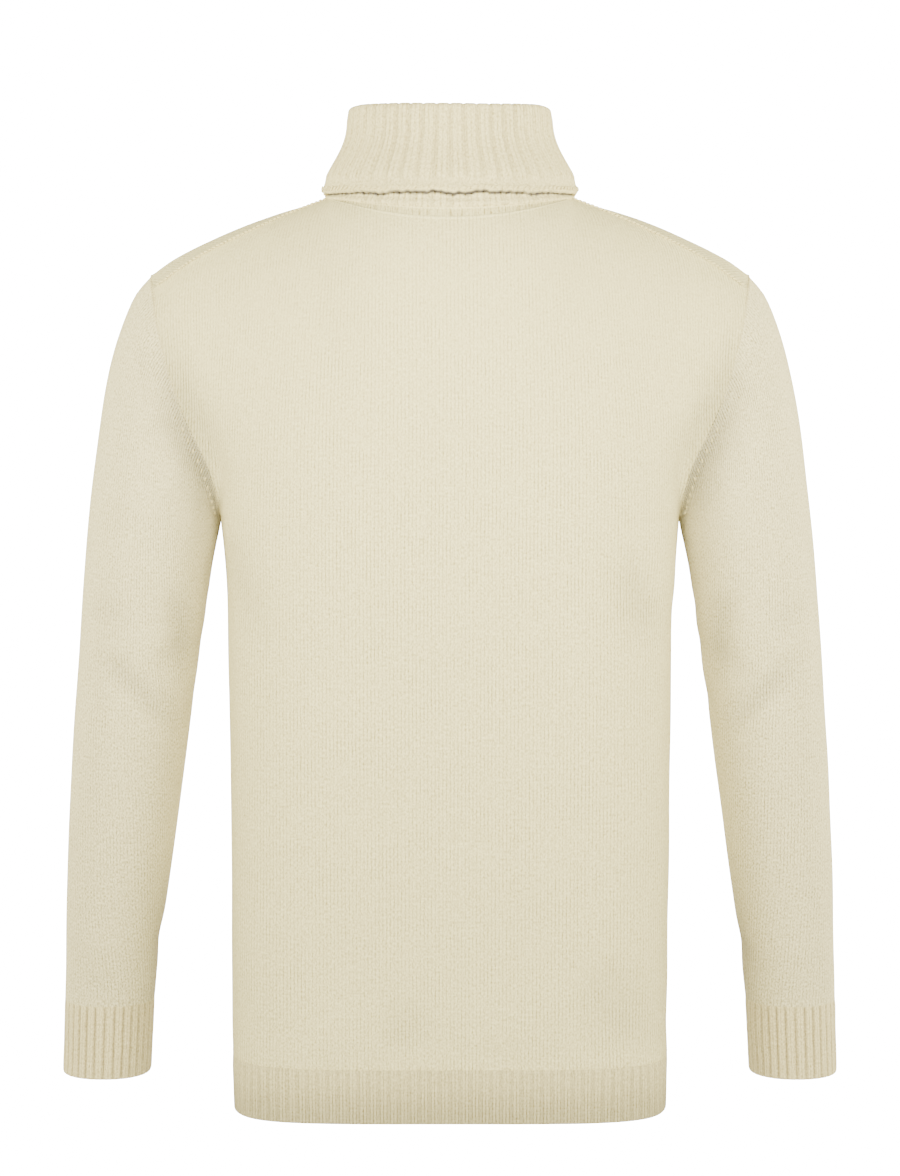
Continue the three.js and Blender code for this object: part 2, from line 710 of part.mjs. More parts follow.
/** Turn of the collar's front edge at a station. */
function collarEndTurn(station) {
  return Math.PI - Math.asin(station.halfGap / station.radius);
}

/** The turned-down collar as one wall, with ribs on the face that shows. */
function collar() {
  const ribs = ribPoints(COLLAR_RIBS, false);
  const plainShare = PLAIN_EDGE / (2 * Math.PI * NECK_RADIUS);
  const raise = (rib) => {
    const fromEnd = Math.min(rib.share, 1 - rib.share);
    return RIB_WALL + RIB_HEIGHT * (fromEnd < plainShare ? 0 : rib.height);
  };
  const valley = ribs.filter((rib) => rib.height === 0);
  const turnOf = (rib, end) => end * (1 - 2 * rib.share);
  const outer = [ribs.map((rib) => collarFoot(turnOf(rib, NECK_END_TURN), raise(rib)))];
  const inner = [valley.map((rib) => collarFoot(turnOf(rib, NECK_END_TURN), 0))];
  for (const station of collarStations) {
    const end = collarEndTurn(station);
    outer.push(ribs.map((rib) => collarPoint(station, turnOf(rib, end), raise(rib))));
    inner.push(valley.map((rib) => collarPoint(station, turnOf(rib, end), 0)));
  }
  return wallOf(outer, inner, { fine: RIB_POINTS });
}

// ---- Zip tapes ----

/** Wall of one zip tape: up the slit behind the panel, then along the collar's front edge. */
function zipTape(mirror) {
  const outer = [];
  const inner = [];
  const { outer: grid, normals } = frontPanel;
  const first = HALF_COLUMNS;
  const addPanelRow = (edge, next, normal) => {
    const across = next.clone().sub(edge);
    const under = edge.clone().addScaledVector(across, TAPE_UNDER_CLOTH / across.x);
    const shown = edge.clone().setX(edge.x - TAPE_SHOWING);
    const lift = (point, depth) => point.clone().addScaledVector(normal, -depth);
    const front = KNIT_WALL + TAPE_CLEARANCE;
    outer.push([lift(shown, front), lift(under, front)]);
    inner.push([lift(shown, front + TAPE_THICKNESS), lift(under, front + TAPE_THICKNESS)]);
  };
  const flatNormal = (normal) => vec(0, normal.y, normal.z).normalize();
  const [low, high] = [BODY_ROWS - 1, BODY_ROWS];
  const tail = TAPE_TAIL / (grid[high][first].z - grid[low][first].z);
  addPanelRow(
    grid[high][first].clone().lerp(grid[low][first], tail),
    grid[high][first + 1].clone().lerp(grid[low][first + 1], tail),
    flatNormal(normals[high][first]),
  );
  for (let i = BODY_ROWS; i < grid.length; i += 1) {
    addPanelRow(grid[i][first], grid[i][first + 1], flatNormal(normals[i][first]));
  }
  const widths = [TAPE_SHOWING, -TAPE_UNDER_CLOTH];
  const front = RIB_WALL + TAPE_CLEARANCE;
  const footTurns = widths.map((width) => NECK_END_TURN + width / NECK_RADIUS);
  outer.push(footTurns.map((turn) => collarFoot(turn, front)));
  inner.push(footTurns.map((turn) => collarFoot(turn, front + TAPE_THICKNESS)));
  for (const station of collarStations) {
    const turns = widths.map((width) => collarEndTurn(station) + width / station.radius);
    outer.push(turns.map((turn) => collarPoint(station, turn, front)));
    inner.push(turns.map((turn) => collarPoint(station, turn, front + TAPE_THICKNESS)));
  }
  const flip = (rows) => rows.map((row) => row.map((p) => vec(mirror * p.x, p.y, p.z)));
  return wallOf(flip(outer), flip(inner));
}

// ---- Slider, pull tab and stops ----

/** Place and lean of the closed zip's middle line at a height. */
function zipLine(z) {
  const column = frontPanel.outer.map((row, i) => ({
    z: row[HALF_COLUMNS].z,
    y: row[HALF_COLUMNS].y,
    normal: frontPanel.normals[i][HALF_COLUMNS],
  }));
  let k = 0;
  while (k < column.length - 2 && z > column[k + 1].z) k += 1;
  const [low, high] = [column[k], column[k + 1]];
  const lean = Math.atan2(high.y - low.y, high.z - low.z);
  const y = mix(low.y, high.y, (z - low.z) / (high.z - low.z));
  const depth = KNIT_WALL + SEAM_GAP + TAPE_THICKNESS / 2;
  return { y: y + depth / Math.cos(lean), z, lean };
}

/** Flat plate from an outline in X and Z, with its thickness along Y. */
function plate(shape, thickness, nearY) {
  const options = { depth: thickness, bevelEnabled: false, curveSegments: 6 };
  const geometry = new THREE.ExtrudeGeometry(shape, options);
  geometry.rotateX(Math.PI / 2);
  geometry.translate(0, nearY + thickness, 0);
  return geometry;
}

/** Outline with rounded corners, as wide as given at its top and at its bottom. */
function taperedOutline({ topWidth, bottomWidth, top, bottom, radius }) {
  const shape = new THREE.Shape();
  const [a, b] = [topWidth / 2, bottomWidth / 2];
  shape.moveTo(-a + radius, top);
  shape.lineTo(a - radius, top);
  shape.quadraticCurveTo(a, top, a, top - radius);
  shape.lineTo(b, bottom + radius);
  shape.quadraticCurveTo(b, bottom, b - radius, bottom);
  shape.lineTo(-b + radius, bottom);
  shape.quadraticCurveTo(-b, bottom, -b, bottom + radius);
  shape.lineTo(-a, top - radius);
  shape.quadraticCurveTo(-a, top, -a + radius, top);
  return shape;
}

const toManifold = (geometry) => {
  const bare = geometry.clone();
  bare.deleteAttribute('normal');
  bare.deleteAttribute('uv');
  const merged = mergeVertices(bare, 1e-4);
  return new wasm.Manifold(new wasm.Mesh({
    numProp: 3,
    vertProperties: new Float32Array(merged.attributes.position.array),
    triVerts: new Uint32Array(merged.index.array),
  }));
};

const toGeometry = (manifold) => {
  const mesh = manifold.getMesh();
  const geometry = new THREE.BufferGeometry();
  geometry.setAttribute('position', new THREE.BufferAttribute(Float32Array.from(mesh.vertProperties), 3));
  geometry.setIndex(new THREE.BufferAttribute(Uint32Array.from(mesh.triVerts), 1));
  geometry.computeVertexNormals();
  return geometry;
};

const block = (width, depth, height, x, y, z) => {
  const geometry = new THREE.BoxGeometry(width, depth, height);
  geometry.translate(x, y, z);
  return geometry;
};

// Slider, in its own frame: the zip runs along Z, the outside is towards -Y
const SLIDER_WIDTH = 8.6;
const SLIDER_FOOT_WIDTH = 7.2;
const SLIDER_HALF_LENGTH = 6.5;
const SLIDER_CORNER = 2.2;
const PLATE_INNER = 1.7;
const PLATE_THICKNESS = 1.5;
const POST = { width: 1.2, length: 4, drop: 2.4, overlap: 0.5 };
const FLANGE = { width: 0.8, depth: 1, length: 8, inset: 0.5, sink: 0.2, z: -1 };
const BRIDGE_WIDTH = 2.4;
const BRIDGE_HALF_LENGTH = 3.2;
const BRIDGE_BAR = 1.1;
const BRIDGE_ROOT = 0.4;
const AXLE_Y = -4.5;
const AXLE_HALF = 0.65;
const PULL_LENGTH = 27;
const PULL_TOP_WIDTH = 6.2;
const PULL_END_WIDTH = 8;
const PULL_CORNER = 1.2;
const EYE_CLEARANCE = { side: 0.4, foot: 1.3 };
const GRIP_HOLE = { fromEnd: 6.5, halfWidth: 1.9, halfLength: 3.2 };
const STOP_THICKNESS = 1.4;
const BOTTOM_STOP = { width: 5, length: 4, rise: 3 };
const TOP_STOP = { width: 2.6, length: 3.4, inset: 1.8, rise: 3 };

/** Two plates joined by a post, with a bridge on the front one. */
function sliderBody() {
  const outline = taperedOutline({
    topWidth: SLIDER_WIDTH,
    bottomWidth: SLIDER_FOOT_WIDTH,
    top: SLIDER_HALF_LENGTH,
    bottom: -SLIDER_HALF_LENGTH,
    radius: SLIDER_CORNER,
  });
  const front = -PLATE_INNER - PLATE_THICKNESS;
  let body = toManifold(plate(outline, PLATE_THICKNESS, front));
  const join = (geometry) => { body = body.add(toManifold(geometry)); };
  join(plate(outline, PLATE_THICKNESS, PLATE_INNER));
  const postDepth = 2 * (PLATE_INNER + POST.overlap);
  join(block(POST.width, postDepth, POST.length, 0, 0, SLIDER_HALF_LENGTH - POST.drop));
  for (const edge of [-1, 1]) {
    const x = edge * (SLIDER_FOOT_WIDTH / 2 - FLANGE.inset);
    for (const face of [-1, 1]) {
      const y = face * (PLATE_INNER - FLANGE.sink);
      join(block(FLANGE.width, FLANGE.depth, FLANGE.length, x, y, FLANGE.z));
    }
  }
  const arch = AXLE_Y - AXLE_HALF - SEAM_GAP - BRIDGE_BAR;
  const reach = front + BRIDGE_ROOT - arch;
  for (const end of [-1, 1]) {
    const z = end * (BRIDGE_HALF_LENGTH - BRIDGE_BAR / 2);
    join(block(BRIDGE_WIDTH, reach, BRIDGE_BAR, 0, arch + reach / 2, z));
  }
  join(block(BRIDGE_WIDTH, BRIDGE_BAR, 2 * BRIDGE_HALF_LENGTH, 0, arch + BRIDGE_BAR / 2, 0));
  return toGeometry(body);
}

/** Pull tab, in its own frame: its axle lies at the origin and it hangs along -Z. */
function pullTab() {
  const outline = taperedOutline({
    topWidth: PULL_TOP_WIDTH,
    bottomWidth: PULL_END_WIDTH,
    top: AXLE_HALF,
    bottom: -PULL_LENGTH,
    radius: PULL_CORNER,
  });
  const eye = new THREE.Path();
  const side = BRIDGE_WIDTH / 2 + EYE_CLEARANCE.side;
  const foot = -BRIDGE_HALF_LENGTH - EYE_CLEARANCE.foot;
  eye.moveTo(-side, -AXLE_HALF);
  eye.lineTo(-side, foot);
  eye.lineTo(side, foot);
  eye.lineTo(side, -AXLE_HALF);
  const grip = new THREE.Path();
  const gripZ = GRIP_HOLE.fromEnd - PULL_LENGTH;
  grip.absellipse(0, gripZ, GRIP_HOLE.halfWidth, GRIP_HOLE.halfLength, 0, 2 * Math.PI, false);
  outline.holes.push(eye, grip);
  return plate(outline, 2 * AXLE_HALF, -AXLE_HALF);
}

// ---- Assembly ----

const wool = new THREE.MeshStandardMaterial({ color: 0xe4dec9, roughness: 0.95, metalness: 0 });
const ribWool = new THREE.MeshStandardMaterial({ color: 0xe0d9c1, roughness: 0.95, metalness: 0 });
const tapeCloth = new THREE.MeshStandardMaterial({ color: 0xd9d0b6, roughness: 0.85, metalness: 0 });
const metal = new THREE.MeshStandardMaterial({ color: 0xb9b6ae, roughness: 0.3, metalness: 1 });

const group = new THREE.Group();

function addPiece(name, geometry, material) {
  const mesh = new THREE.Mesh(geometry, material);
  mesh.name = name;
  group.add(mesh);
  return mesh;
}

addPiece('back_panel', wallOf(backPanel.outer, backPanel.inner), wool);
addPiece('front_panel', wallOf(frontPanel.outer, frontPanel.inner, {
  hole: (row, column) => row >= BODY_ROWS && column === slitCell,
}), wool);
addPiece('sleeve_left', sleeve(1), wool);
addPiece('sleeve_right', sleeve(-1), wool);
addPiece('cuff_left', cuff(1), ribWool);
addPiece('cuff_right', cuff(-1), ribWool);
addPiece('hem_rib_back', hemRib(1), ribWool);
addPiece('hem_rib_front', hemRib(-1), ribWool);
addPiece('collar', collar(), ribWool);
addPiece('zip_tape_left', zipTape(1), tapeCloth);
addPiece('zip_tape_right', zipTape(-1), tapeCloth);

const sliderLine = zipLine(SLIDER_Z);
const slider = addPiece('zip_slider', sliderBody(), metal);
slider.position.set(0, sliderLine.y, sliderLine.z);
slider.rotation.x = -sliderLine.lean;

const pull = addPiece('zip_pull_tab', pullTab(), metal);
const axle = vec(0, AXLE_Y, 0).applyEuler(slider.rotation).add(slider.position);
pull.position.copy(axle);
pull.rotation.copy(slider.rotation);

const stopLine = zipLine(UNDERARM + BOTTOM_STOP.rise);
const stopLift = -TAPE_THICKNESS / 2 - SEAM_GAP - STOP_THICKNESS / 2;
const stopBlock = block(BOTTOM_STOP.width, STOP_THICKNESS, BOTTOM_STOP.length, 0, stopLift, 0);
const stop = addPiece('zip_bottom_stop', stopBlock, metal);
stop.position.set(0, stopLine.y, stopLine.z);
stop.rotation.x = -stopLine.lean;

/** A stop clamped on the tape where the zip ends, at the lower edge of the leaf. */
function topStop(name, mirror) {
  const station = collarStations[collarStations.length - 1];
  const above = collarStations[collarStations.length - 2];
  const turn = collarEndTurn(station) + (TAPE_SHOWING - TOP_STOP.inset) / station.radius;
  const behindTape = RIB_WALL + TAPE_CLEARANCE + TAPE_THICKNESS;
  const lift = behindTape + SEAM_GAP + STOP_THICKNESS / 2;
  const at = collarPoint(station, turn, lift);
  const up = collarPoint(above, turn, lift).sub(at).normalize();
  const out = at.clone().sub(collarPoint(station, turn, 0)).normalize();
  const across = up.clone().cross(out).normalize();
  const along = out.clone().cross(across).normalize();
  const centre = at.clone().addScaledVector(along, TOP_STOP.rise);
  const geometry = new THREE.BoxGeometry(TOP_STOP.width, STOP_THICKNESS, TOP_STOP.length);
  geometry.applyMatrix4(new THREE.Matrix4().makeBasis(across, out, along.clone().negate()));
  geometry.translate(centre.x, centre.y, centre.z);
  if (mirror < 0) {
    geometry.scale(-1, 1, 1);
    geometry.index.array.reverse();
  }
  addPiece(name, geometry, metal);
}

topStop('zip_top_stop_left', 1);
topStop('zip_top_stop_right', -1);

export default group;
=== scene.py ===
"""Half-zip sweater in cream lambswool, worn and hollow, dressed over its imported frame.

Sizes are millimetres and become metres when a mesh is made. +Z is up, the front faces -Y and
the wearer's left is +X. Every cloth piece is a closed wall between two grids of points.
"""
import functools
import math

import bpy
import mathutils
import numpy as np
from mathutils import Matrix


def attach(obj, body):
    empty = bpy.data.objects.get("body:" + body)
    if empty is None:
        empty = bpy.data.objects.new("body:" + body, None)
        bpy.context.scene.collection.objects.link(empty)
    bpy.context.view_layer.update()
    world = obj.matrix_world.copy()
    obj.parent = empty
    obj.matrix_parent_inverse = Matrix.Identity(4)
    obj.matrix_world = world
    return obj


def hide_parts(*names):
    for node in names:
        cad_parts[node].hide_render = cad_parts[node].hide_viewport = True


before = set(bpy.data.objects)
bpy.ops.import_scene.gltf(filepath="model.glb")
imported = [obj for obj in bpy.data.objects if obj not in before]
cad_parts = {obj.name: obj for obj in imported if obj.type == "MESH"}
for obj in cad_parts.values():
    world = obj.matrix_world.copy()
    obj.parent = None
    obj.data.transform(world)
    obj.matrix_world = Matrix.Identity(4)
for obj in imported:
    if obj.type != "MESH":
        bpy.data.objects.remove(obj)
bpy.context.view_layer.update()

# ---- Body: back and front panels ----
# Two pieces of plain knitting, narrowed at the armholes and joined at the sides and the
# shoulders. The front one is slit for the zip from the height of the underarms up.

MM = 0.001
HEM_TOP = -648.8
UNDERARM = -240
TORSO = [  # height, half width, depth behind, depth in front, squareness
    (-691.5, 167, 97, 95, 4.8),
    (-650, 167.6, 99, 97, 4.5),
    (-520, 168, 101, 102, 3.9),
    (-380, 169.2, 104, 110, 3.4),
    (-300, 170.8, 106.4, 115.2, 3.15),
    (-268, 172.4, 106.9, 116.7, 3.05),
    (UNDERARM, 174.2, 107, 117, 3),
]
BACK, FRONT = 1, -1


def mix(a, b, t):
    """From a at t = 0 to b at t = 1."""
    return a + (b - a) * t


def ease(t):
    """Smooth step from 0 to 1, level at both ends."""
    t = np.clip(t, 0, 1)
    return t * t * (3 - 2 * t)


def ramp(value, start, end):
    """0 before `start` and 1 beyond `end`, which may lie on either side of it, with a smooth step."""
    return ease((value - start) / (end - start))


def unit(vectors):
    """The vectors, each divided by its own length."""
    return vectors / np.maximum(np.linalg.norm(vectors, axis=-1, keepdims=True), 1e-9)


def bell(away, width):
    """1 where `away` is 0, falling off on both sides: e to minus the square of away over width."""
    return np.exp(-((away / width) ** 2))


def signed_power(value, power):
    """The size of a value raised to a power, with the value's own sign."""
    return np.sign(value) * np.abs(value) ** power


def through(table, at):
    """A smooth curve through the rows of a table, whose first column is the key.

    Each stretch is the cubic that has the rows' values at its ends and, as its slopes there,
    those of the straight line from the row before to the row after.
    """
    table = np.asarray(table, float)
    key, value = table[:, 0], table[:, 1:]
    number = np.arange(len(key))
    before, after = np.maximum(number - 1, 0), np.minimum(number + 1, len(key) - 1)
    slope = (value[after] - value[before]) / (key[after] - key[before])[:, None]
    at = np.asarray(at, float)
    k = np.clip(np.searchsorted(key, at) - 1, 0, len(key) - 2)
    span = (key[k + 1] - key[k])[..., None]
    t = np.clip((at - key[k])[..., None] / span, 0, 1)
    p, q, u, v = value[k], value[k + 1], slope[k] * span, slope[k + 1] * span
    return p + t * (u + t * (3 * (q - p) - 2 * u - v + t * (2 * (p - q) + u + v)))


OVAL_POINTS = 961


def half_oval(shares, half_width, depth, power):
    """Points and outward normals at shares of the length of half a superellipse.

    |x / half width| ^ power + |y / depth| ^ power = 1, from its +X end over +Y to its -X end.
    """
    turn = np.linspace(0, math.pi, OVAL_POINTS)
    x = half_width * signed_power(np.cos(turn), 2 / power)
    y = depth * np.maximum(np.sin(turn), 0) ** (2 / power)
    length = np.append(0, np.cumsum(np.hypot(np.diff(x), np.diff(y))))
    at = np.asarray(shares) * length[-1]
    x, y = np.interp(at, length, x), np.interp(at, length, y)
    normal = [signed_power(x / half_width, power - 1) / half_width, (y / depth) ** (power - 1) / depth]
    return np.stack([x, y], -1), unit(np.stack(normal, -1))


SLEEVE = [  # ring, outer x and z, inner x and z, half depth, middle y
    (0, 226.5, -52.8, 175.4, UNDERARM, 57, 2),
    (1, 240.5, -71.5, 176.4, -245, 59.5, 1),
    (2, 252.5, -101, 178.2, -253, 61, 0),
    (3, 261.5, -136, 180.6, -264, 62, 0),
    (4, 269.5, -181, 184.2, -283, 62, -1),
    (5, 277.2, -242, 189.6, -320, 61, -3),
    (6, 284.2, -312, 197, -370, 58.5, -6),
    (7, 290.8, -395, 206.2, -433, 54, -10),
    (8, 296.8, -480, 216.6, -505, 48, -16),
    (9, 301, -566, 227.2, -578, 41, -23),
    (10, 303.2, -622, 233, -622, 35.4, -27),
]
SLEEVE_SQUARENESS = 2.15


def sleeve_points(row, turn):
    """Points and outward normals on sleeve rings: turn 0 is the outer point, +90 degrees the back.

    A ring is its middle, plus half the line from inner to outer point times a power of the
    turn's cosine, plus its half depth along Y times the same power of the sine.
    """
    parts = np.moveaxis(np.asarray(row, float), -1, 0)[..., None]
    outer_x, outer_z, inner_x, inner_z, half_depth, middle_y = parts
    along = signed_power(np.cos(turn), 2 / SLEEVE_SQUARENESS)
    across = signed_power(np.sin(turn), 2 / SLEEVE_SQUARENESS)
    half_x, half_z = (outer_x - inner_x) / 2, (outer_z - inner_z) / 2
    x = (outer_x + inner_x) / 2 + half_x * along
    z = (outer_z + inner_z) / 2 + half_z * along
    y = middle_y + half_depth * across
    steep = signed_power(along, SLEEVE_SQUARENESS - 1) / (half_x**2 + half_z**2)
    normal = [half_x * steep, signed_power(across, SLEEVE_SQUARENESS - 1) / half_depth, half_z * steep]
    return np.stack(np.broadcast_arrays(x, y, z), -1), unit(np.stack(np.broadcast_arrays(*normal), -1))


ARMHOLE_SWAY = [(0, 0), (0.3, 3.6), (0.56, 2.4), (0.74, -4), (0.88, -4.4), (1, 0)]


def sway(turn):
    """How far the armhole seam runs outside the straight line from shoulder to underarm."""
    down = (1 - signed_power(np.cos(turn), 2 / SLEEVE_SQUARENESS)) / 2
    return through(ARMHOLE_SWAY, down)[..., 0]


def armhole(turn):
    """Points and normals on the left armhole seam: the first sleeve ring, swayed."""
    points, normals = sleeve_points(SLEEVE[0][1:], np.atleast_1d(turn))
    points[..., 0] += sway(np.atleast_1d(turn))
    return points, normals


NECK_RADIUS = 93
BACK_SHORTER = 20
FRONT_SHORTER = 13
NECK_SIDE_Z = 4
NECK_BACK_DROP = 7.6
NECK_FRONT_DROP = 68
FRONT_DROP_POWER = 1.6


def neck_ring(radius, z, turn):
    """Points round the neck at turns from the centre back, on an oval cut short behind and before."""
    shorter = np.where(np.cos(turn) > 0, BACK_SHORTER, FRONT_SHORTER)
    x, y = radius * np.sin(turn), (radius - shorter) * np.cos(turn)
    return np.stack(np.broadcast_arrays(x, y, z), -1)


def front_dip(turn):
    """How much of the front's drop a turn has: a power of how far round to the front it is."""
    return np.maximum(0, -np.cos(turn)) ** FRONT_DROP_POWER


def neck_seam(turn):
    """Points on the neck seam, which dips behind and drops in front."""
    behind = NECK_BACK_DROP * np.maximum(0, np.cos(turn)) ** 2
    return neck_ring(NECK_RADIUS, NECK_SIDE_Z - behind - NECK_FRONT_DROP * front_dip(turn), turn)


SHOULDER_SEAM = [(0, 4), (0.25, -9), (0.5, -24), (0.75, -41), (1, -64)]
SHOULDER_SEAM_TURN = math.radians(77)
ARMHOLE_STEP = math.radians(15)
SHOULDER_END_TURN = 2 * ARMHOLE_STEP
SHOULDER_BOW = 3


def shoulder_seam(out):
    """Points on the left shoulder seam, from neck to armhole: bowed back, at its own heights."""
    start, end = neck_seam(np.array(SHOULDER_SEAM_TURN)), armhole(SHOULDER_END_TURN)[0][0]
    points = mix(start, end, out[:, None])
    points[:, 1] += SHOULDER_BOW * np.sin(math.pi * out)
    points[:, 2] = np.where(out == 1, end[2], through(SHOULDER_SEAM, out)[:, 0])
    return points


STRAIGHT_RISE = 0.58


def riser(foot, top, lean, reach, v):
    """Cubic arcs that rise straight up from `foot` and reach `top` along `lean`."""
    rise = (top[..., 2:] - foot[..., 2:]) * STRAIGHT_RISE
    first = foot + rise * np.array([0, 0, 1])
    second = top - lean * np.asarray(reach)[..., None]
    u = 1 - v
    return foot * u**3 + first * 3 * u * u * v + second * 3 * u * v * v + top * v**3


SLIT_HALF_WIDTH = 5
SLIT_POWER = 1.3
SLIDER_Z = -118
NECK_HALF_GAP = 15
NECK_END_TURN = math.pi - math.asin(NECK_HALF_GAP / NECK_RADIUS)


def slit_half_width(z):
    """Half width of the zip slit: even up to the slider, then opening to the neck."""
    open_share = np.clip((z - SLIDER_Z) / (NECK_SIDE_Z - NECK_FRONT_DROP - SLIDER_Z), 0, 1)
    return mix(SLIT_HALF_WIDTH, NECK_HALF_GAP, open_share**SLIT_POWER)


NECK_CELLS = 7
SHOULDER_CELLS = 7
HALF_COLUMNS = NECK_CELLS + SHOULDER_CELLS
BODY_ROWS = 7
SLIT_COLUMN_SHARE = 0.012
SLIT_COLUMNS = 4
NECK_LEAN = (0.57, 0.82)  # along y, up
SHOULDER_LEAN = (0.3, 0.95, 1.5)  # inward, along y, up
REACH = 46
FRONT_SHOULDER_REACH = 60
BEYOND_CREST = 0.16
SEAM_PULL_POWER = 4
CHEST_SWELL = 2.5
LEAST_SPREAD = 0.6
SOFTENING_PASSES = 5
SOFTENING_ROWS = 8
SOFTENING_COLUMNS = 3


def softened(grid):
    """The sections above the underarm, each point moved towards the middle of its two neighbours.

    The points beside the slit and those of the lowest and the top sections stay where they are.
    """
    number = np.arange(BODY_ROWS + 1, len(grid) - 1)
    weight = ease((number - BODY_ROWS) / SOFTENING_ROWS) * np.where(number == len(grid) - 2, 0.5, 1)
    middle = (grid.shape[1] - 1) / 2
    sideways = np.clip(np.abs(np.arange(1, grid.shape[1] - 1) - middle) / SOFTENING_COLUMNS - 1, 0, 1)
    weight = (0.5 * weight[:, None] * sideways)[..., None]
    upper = grid[number]
    for _ in range(SOFTENING_PASSES):
        even = (upper[:, :-2] + upper[:, 2:]) / 2
        upper[:, 1:-1, 1:] = mix(upper[:, 1:-1, 1:], even[..., 1:], weight)
    grid[number] = upper
    return grid


def panel_sections(side):
    """A panel's sections, rows from the rib up and columns from the right side to the left.

    Below the underarm a section is half the torso's oval. Above it each column rises on a
    cubic arc to the neck or the shoulder seam, and the outer ones are pulled to the armhole.
    The chest swells by 16 v^2 (1 - v)^2, which is 1 half way up the arc.
    """
    in_front = side == FRONT
    j = np.arange(1 if in_front else 0, HALF_COLUMNS + 1)
    share = mix(SLIT_COLUMN_SHARE, 1, (j - 1) / (HALF_COLUMNS - 1)) if in_front else j / HALF_COLUMNS
    neck_share = (NECK_CELLS - j) / (NECK_CELLS - 1) if in_front else j / NECK_CELLS
    turn = SHOULDER_SEAM_TURN * neck_share
    if in_front:
        turn = mix(SHOULDER_SEAM_TURN, NECK_END_TURN, neck_share)
    out = np.clip((j - NECK_CELLS) / SHOULDER_CELLS, 0, 1)
    in_neck = j <= NECK_CELLS
    top = np.where(in_neck[:, None], neck_seam(turn), shoulder_seam(out))
    sideways = np.where(in_neck, np.sin(turn) ** 2, 1)
    lean = unit(np.stack([
        -SHOULDER_LEAN[0] * sideways * (1 - out) ** 3,
        -side * mix(NECK_LEAN[0], SHOULDER_LEAN[1], sideways),
        mix(NECK_LEAN[1], side * SHOULDER_LEAN[2] * out, sideways),
    ], -1))
    reach = mix(REACH, FRONT_SHOULDER_REACH if in_front else REACH, sideways)

    def section(z, spread):
        half_width, back, front, squareness = through(TORSO, z)
        depth = front if in_front else back
        points, _ = half_oval((1 - share * spread) / 2, half_width, depth, squareness)
        points = np.column_stack([points[:, 0], side * points[:, 1], np.full(len(share), z)])
        if in_front:
            points[0, 0] = SLIT_HALF_WIDTH
        return points

    rows = [section(z, 1) for z in mix(HEM_TOP, UNDERARM, np.arange(BODY_ROWS) / BODY_ROWS)]
    count = round((math.pi - side * SHOULDER_END_TURN) / ARMHOLE_STEP)
    spreads = np.linspace(LEAST_SPREAD, 1, 401)
    half_width, back, front, squareness = through(TORSO, UNDERARM)
    feet, _ = half_oval((1 - spreads) / 2, half_width, front if in_front else back, squareness)
    low, high = armhole(math.pi)[0][0, 2], armhole(0)[0][0, 2]
    spread = 1
    for turn in side * (math.pi - ARMHOLE_STEP * np.arange(count + 1)):
        seam = armhole(turn)[0][0]
        v = (seam[2] - low) / (high - low)
        if not in_front:
            v /= (armhole(SHOULDER_END_TURN)[0][0, 2] - low) / (high - low)
        elif turn <= 1e-9:
            v *= 1 - BEYOND_CREST
        else:
            v = 1 - BEYOND_CREST * (1 - turn / SHOULDER_END_TURN)
        if abs(turn) > math.pi / 2 - 0.01:
            spread = min(spread, np.interp(-abs(seam[1]), -feet[:, 1], spreads))
        row = riser(section(UNDERARM, spread), top, lean, reach, v)
        row += (seam - row[-1]) * share[:, None] ** SEAM_PULL_POWER
        row[:, 1] += side * CHEST_SWELL * 16 * v**2 * (1 - v) ** 2 * (1 - share**2)
        if in_front:
            shift = slit_half_width(row[0, 2]) - row[0, 0]
            row[:SLIT_COLUMNS, 0] += shift * (1 - np.arange(SLIT_COLUMNS) / SLIT_COLUMNS)
        rows.append(row)
    half = np.array(rows)
    mirrored = (half * [-1, 1, 1])[:, ::-1]
    return softened(np.concatenate([mirrored, half if in_front else half[:, 1:]], 1))


def lengths(grid, axis):
    """Length run so far along a grid's rows or columns at every point."""
    steps = np.linalg.norm(np.diff(grid, axis=axis), axis=-1)
    start = np.zeros_like(np.take(steps, [0], axis))
    return np.concatenate([start, np.cumsum(steps, axis)], axis)


def stops(start, end, step, rim=(0, 0.25, 0.7, 1.4, 2.6)):
    """Places from start to end about a step apart, and at the rim's distances from both ends."""
    inset = rim[-1]
    count = max(2, round((end - start - 2 * inset) / step) + 1)
    middle = np.linspace(start + inset, end - inset, count)
    return np.concatenate([start + np.array(rim[:-1]), middle, end - np.array(rim[:-1])[::-1]])


def refine(grid, at, axis):
    """Points of the smooth surface through a grid, at places along its mean column (0) or row (1)."""
    turned = grid.swapaxes(0, axis)
    flat = turned.reshape(len(turned), -1)
    points = through(np.column_stack([lengths(turned, 0).mean(1), flat]), at)
    return points.reshape(len(at), *turned.shape[1:]).swapaxes(0, axis)


def normals_of(grid, outside):
    """Normals of a grid by differences, turned so that the middle one points along `outside`."""
    normal = unit(np.cross(np.gradient(grid, axis=1), np.gradient(grid, axis=0)))
    middle = normal[len(normal) // 3, normal.shape[1] // 2]
    return normal if middle @ np.asarray(outside) > 0 else -normal


def rounding(distance, radius):
    """How far a face draws back near an edge, by a quarter circle's fall, so that the edge is round."""
    near = np.clip(distance / radius, 0, 1)
    return radius * (1 - np.sqrt(1 - (1 - near) ** 2))


WAVE_COUNT = 28
WAVE_LEAST, WAVE_MOST = 0.025, 0.11  # radians to the millimetre
WAVE_CREST = 1.6

rng = np.random.default_rng(7)
WAVES = rng.normal(size=(WAVE_COUNT, 3))
WAVES *= (rng.uniform(WAVE_LEAST, WAVE_MOST, WAVE_COUNT) / np.linalg.norm(WAVES, axis=1))[:, None]
WAVE_PHASES = rng.uniform(0, 2 * math.pi, WAVE_COUNT)


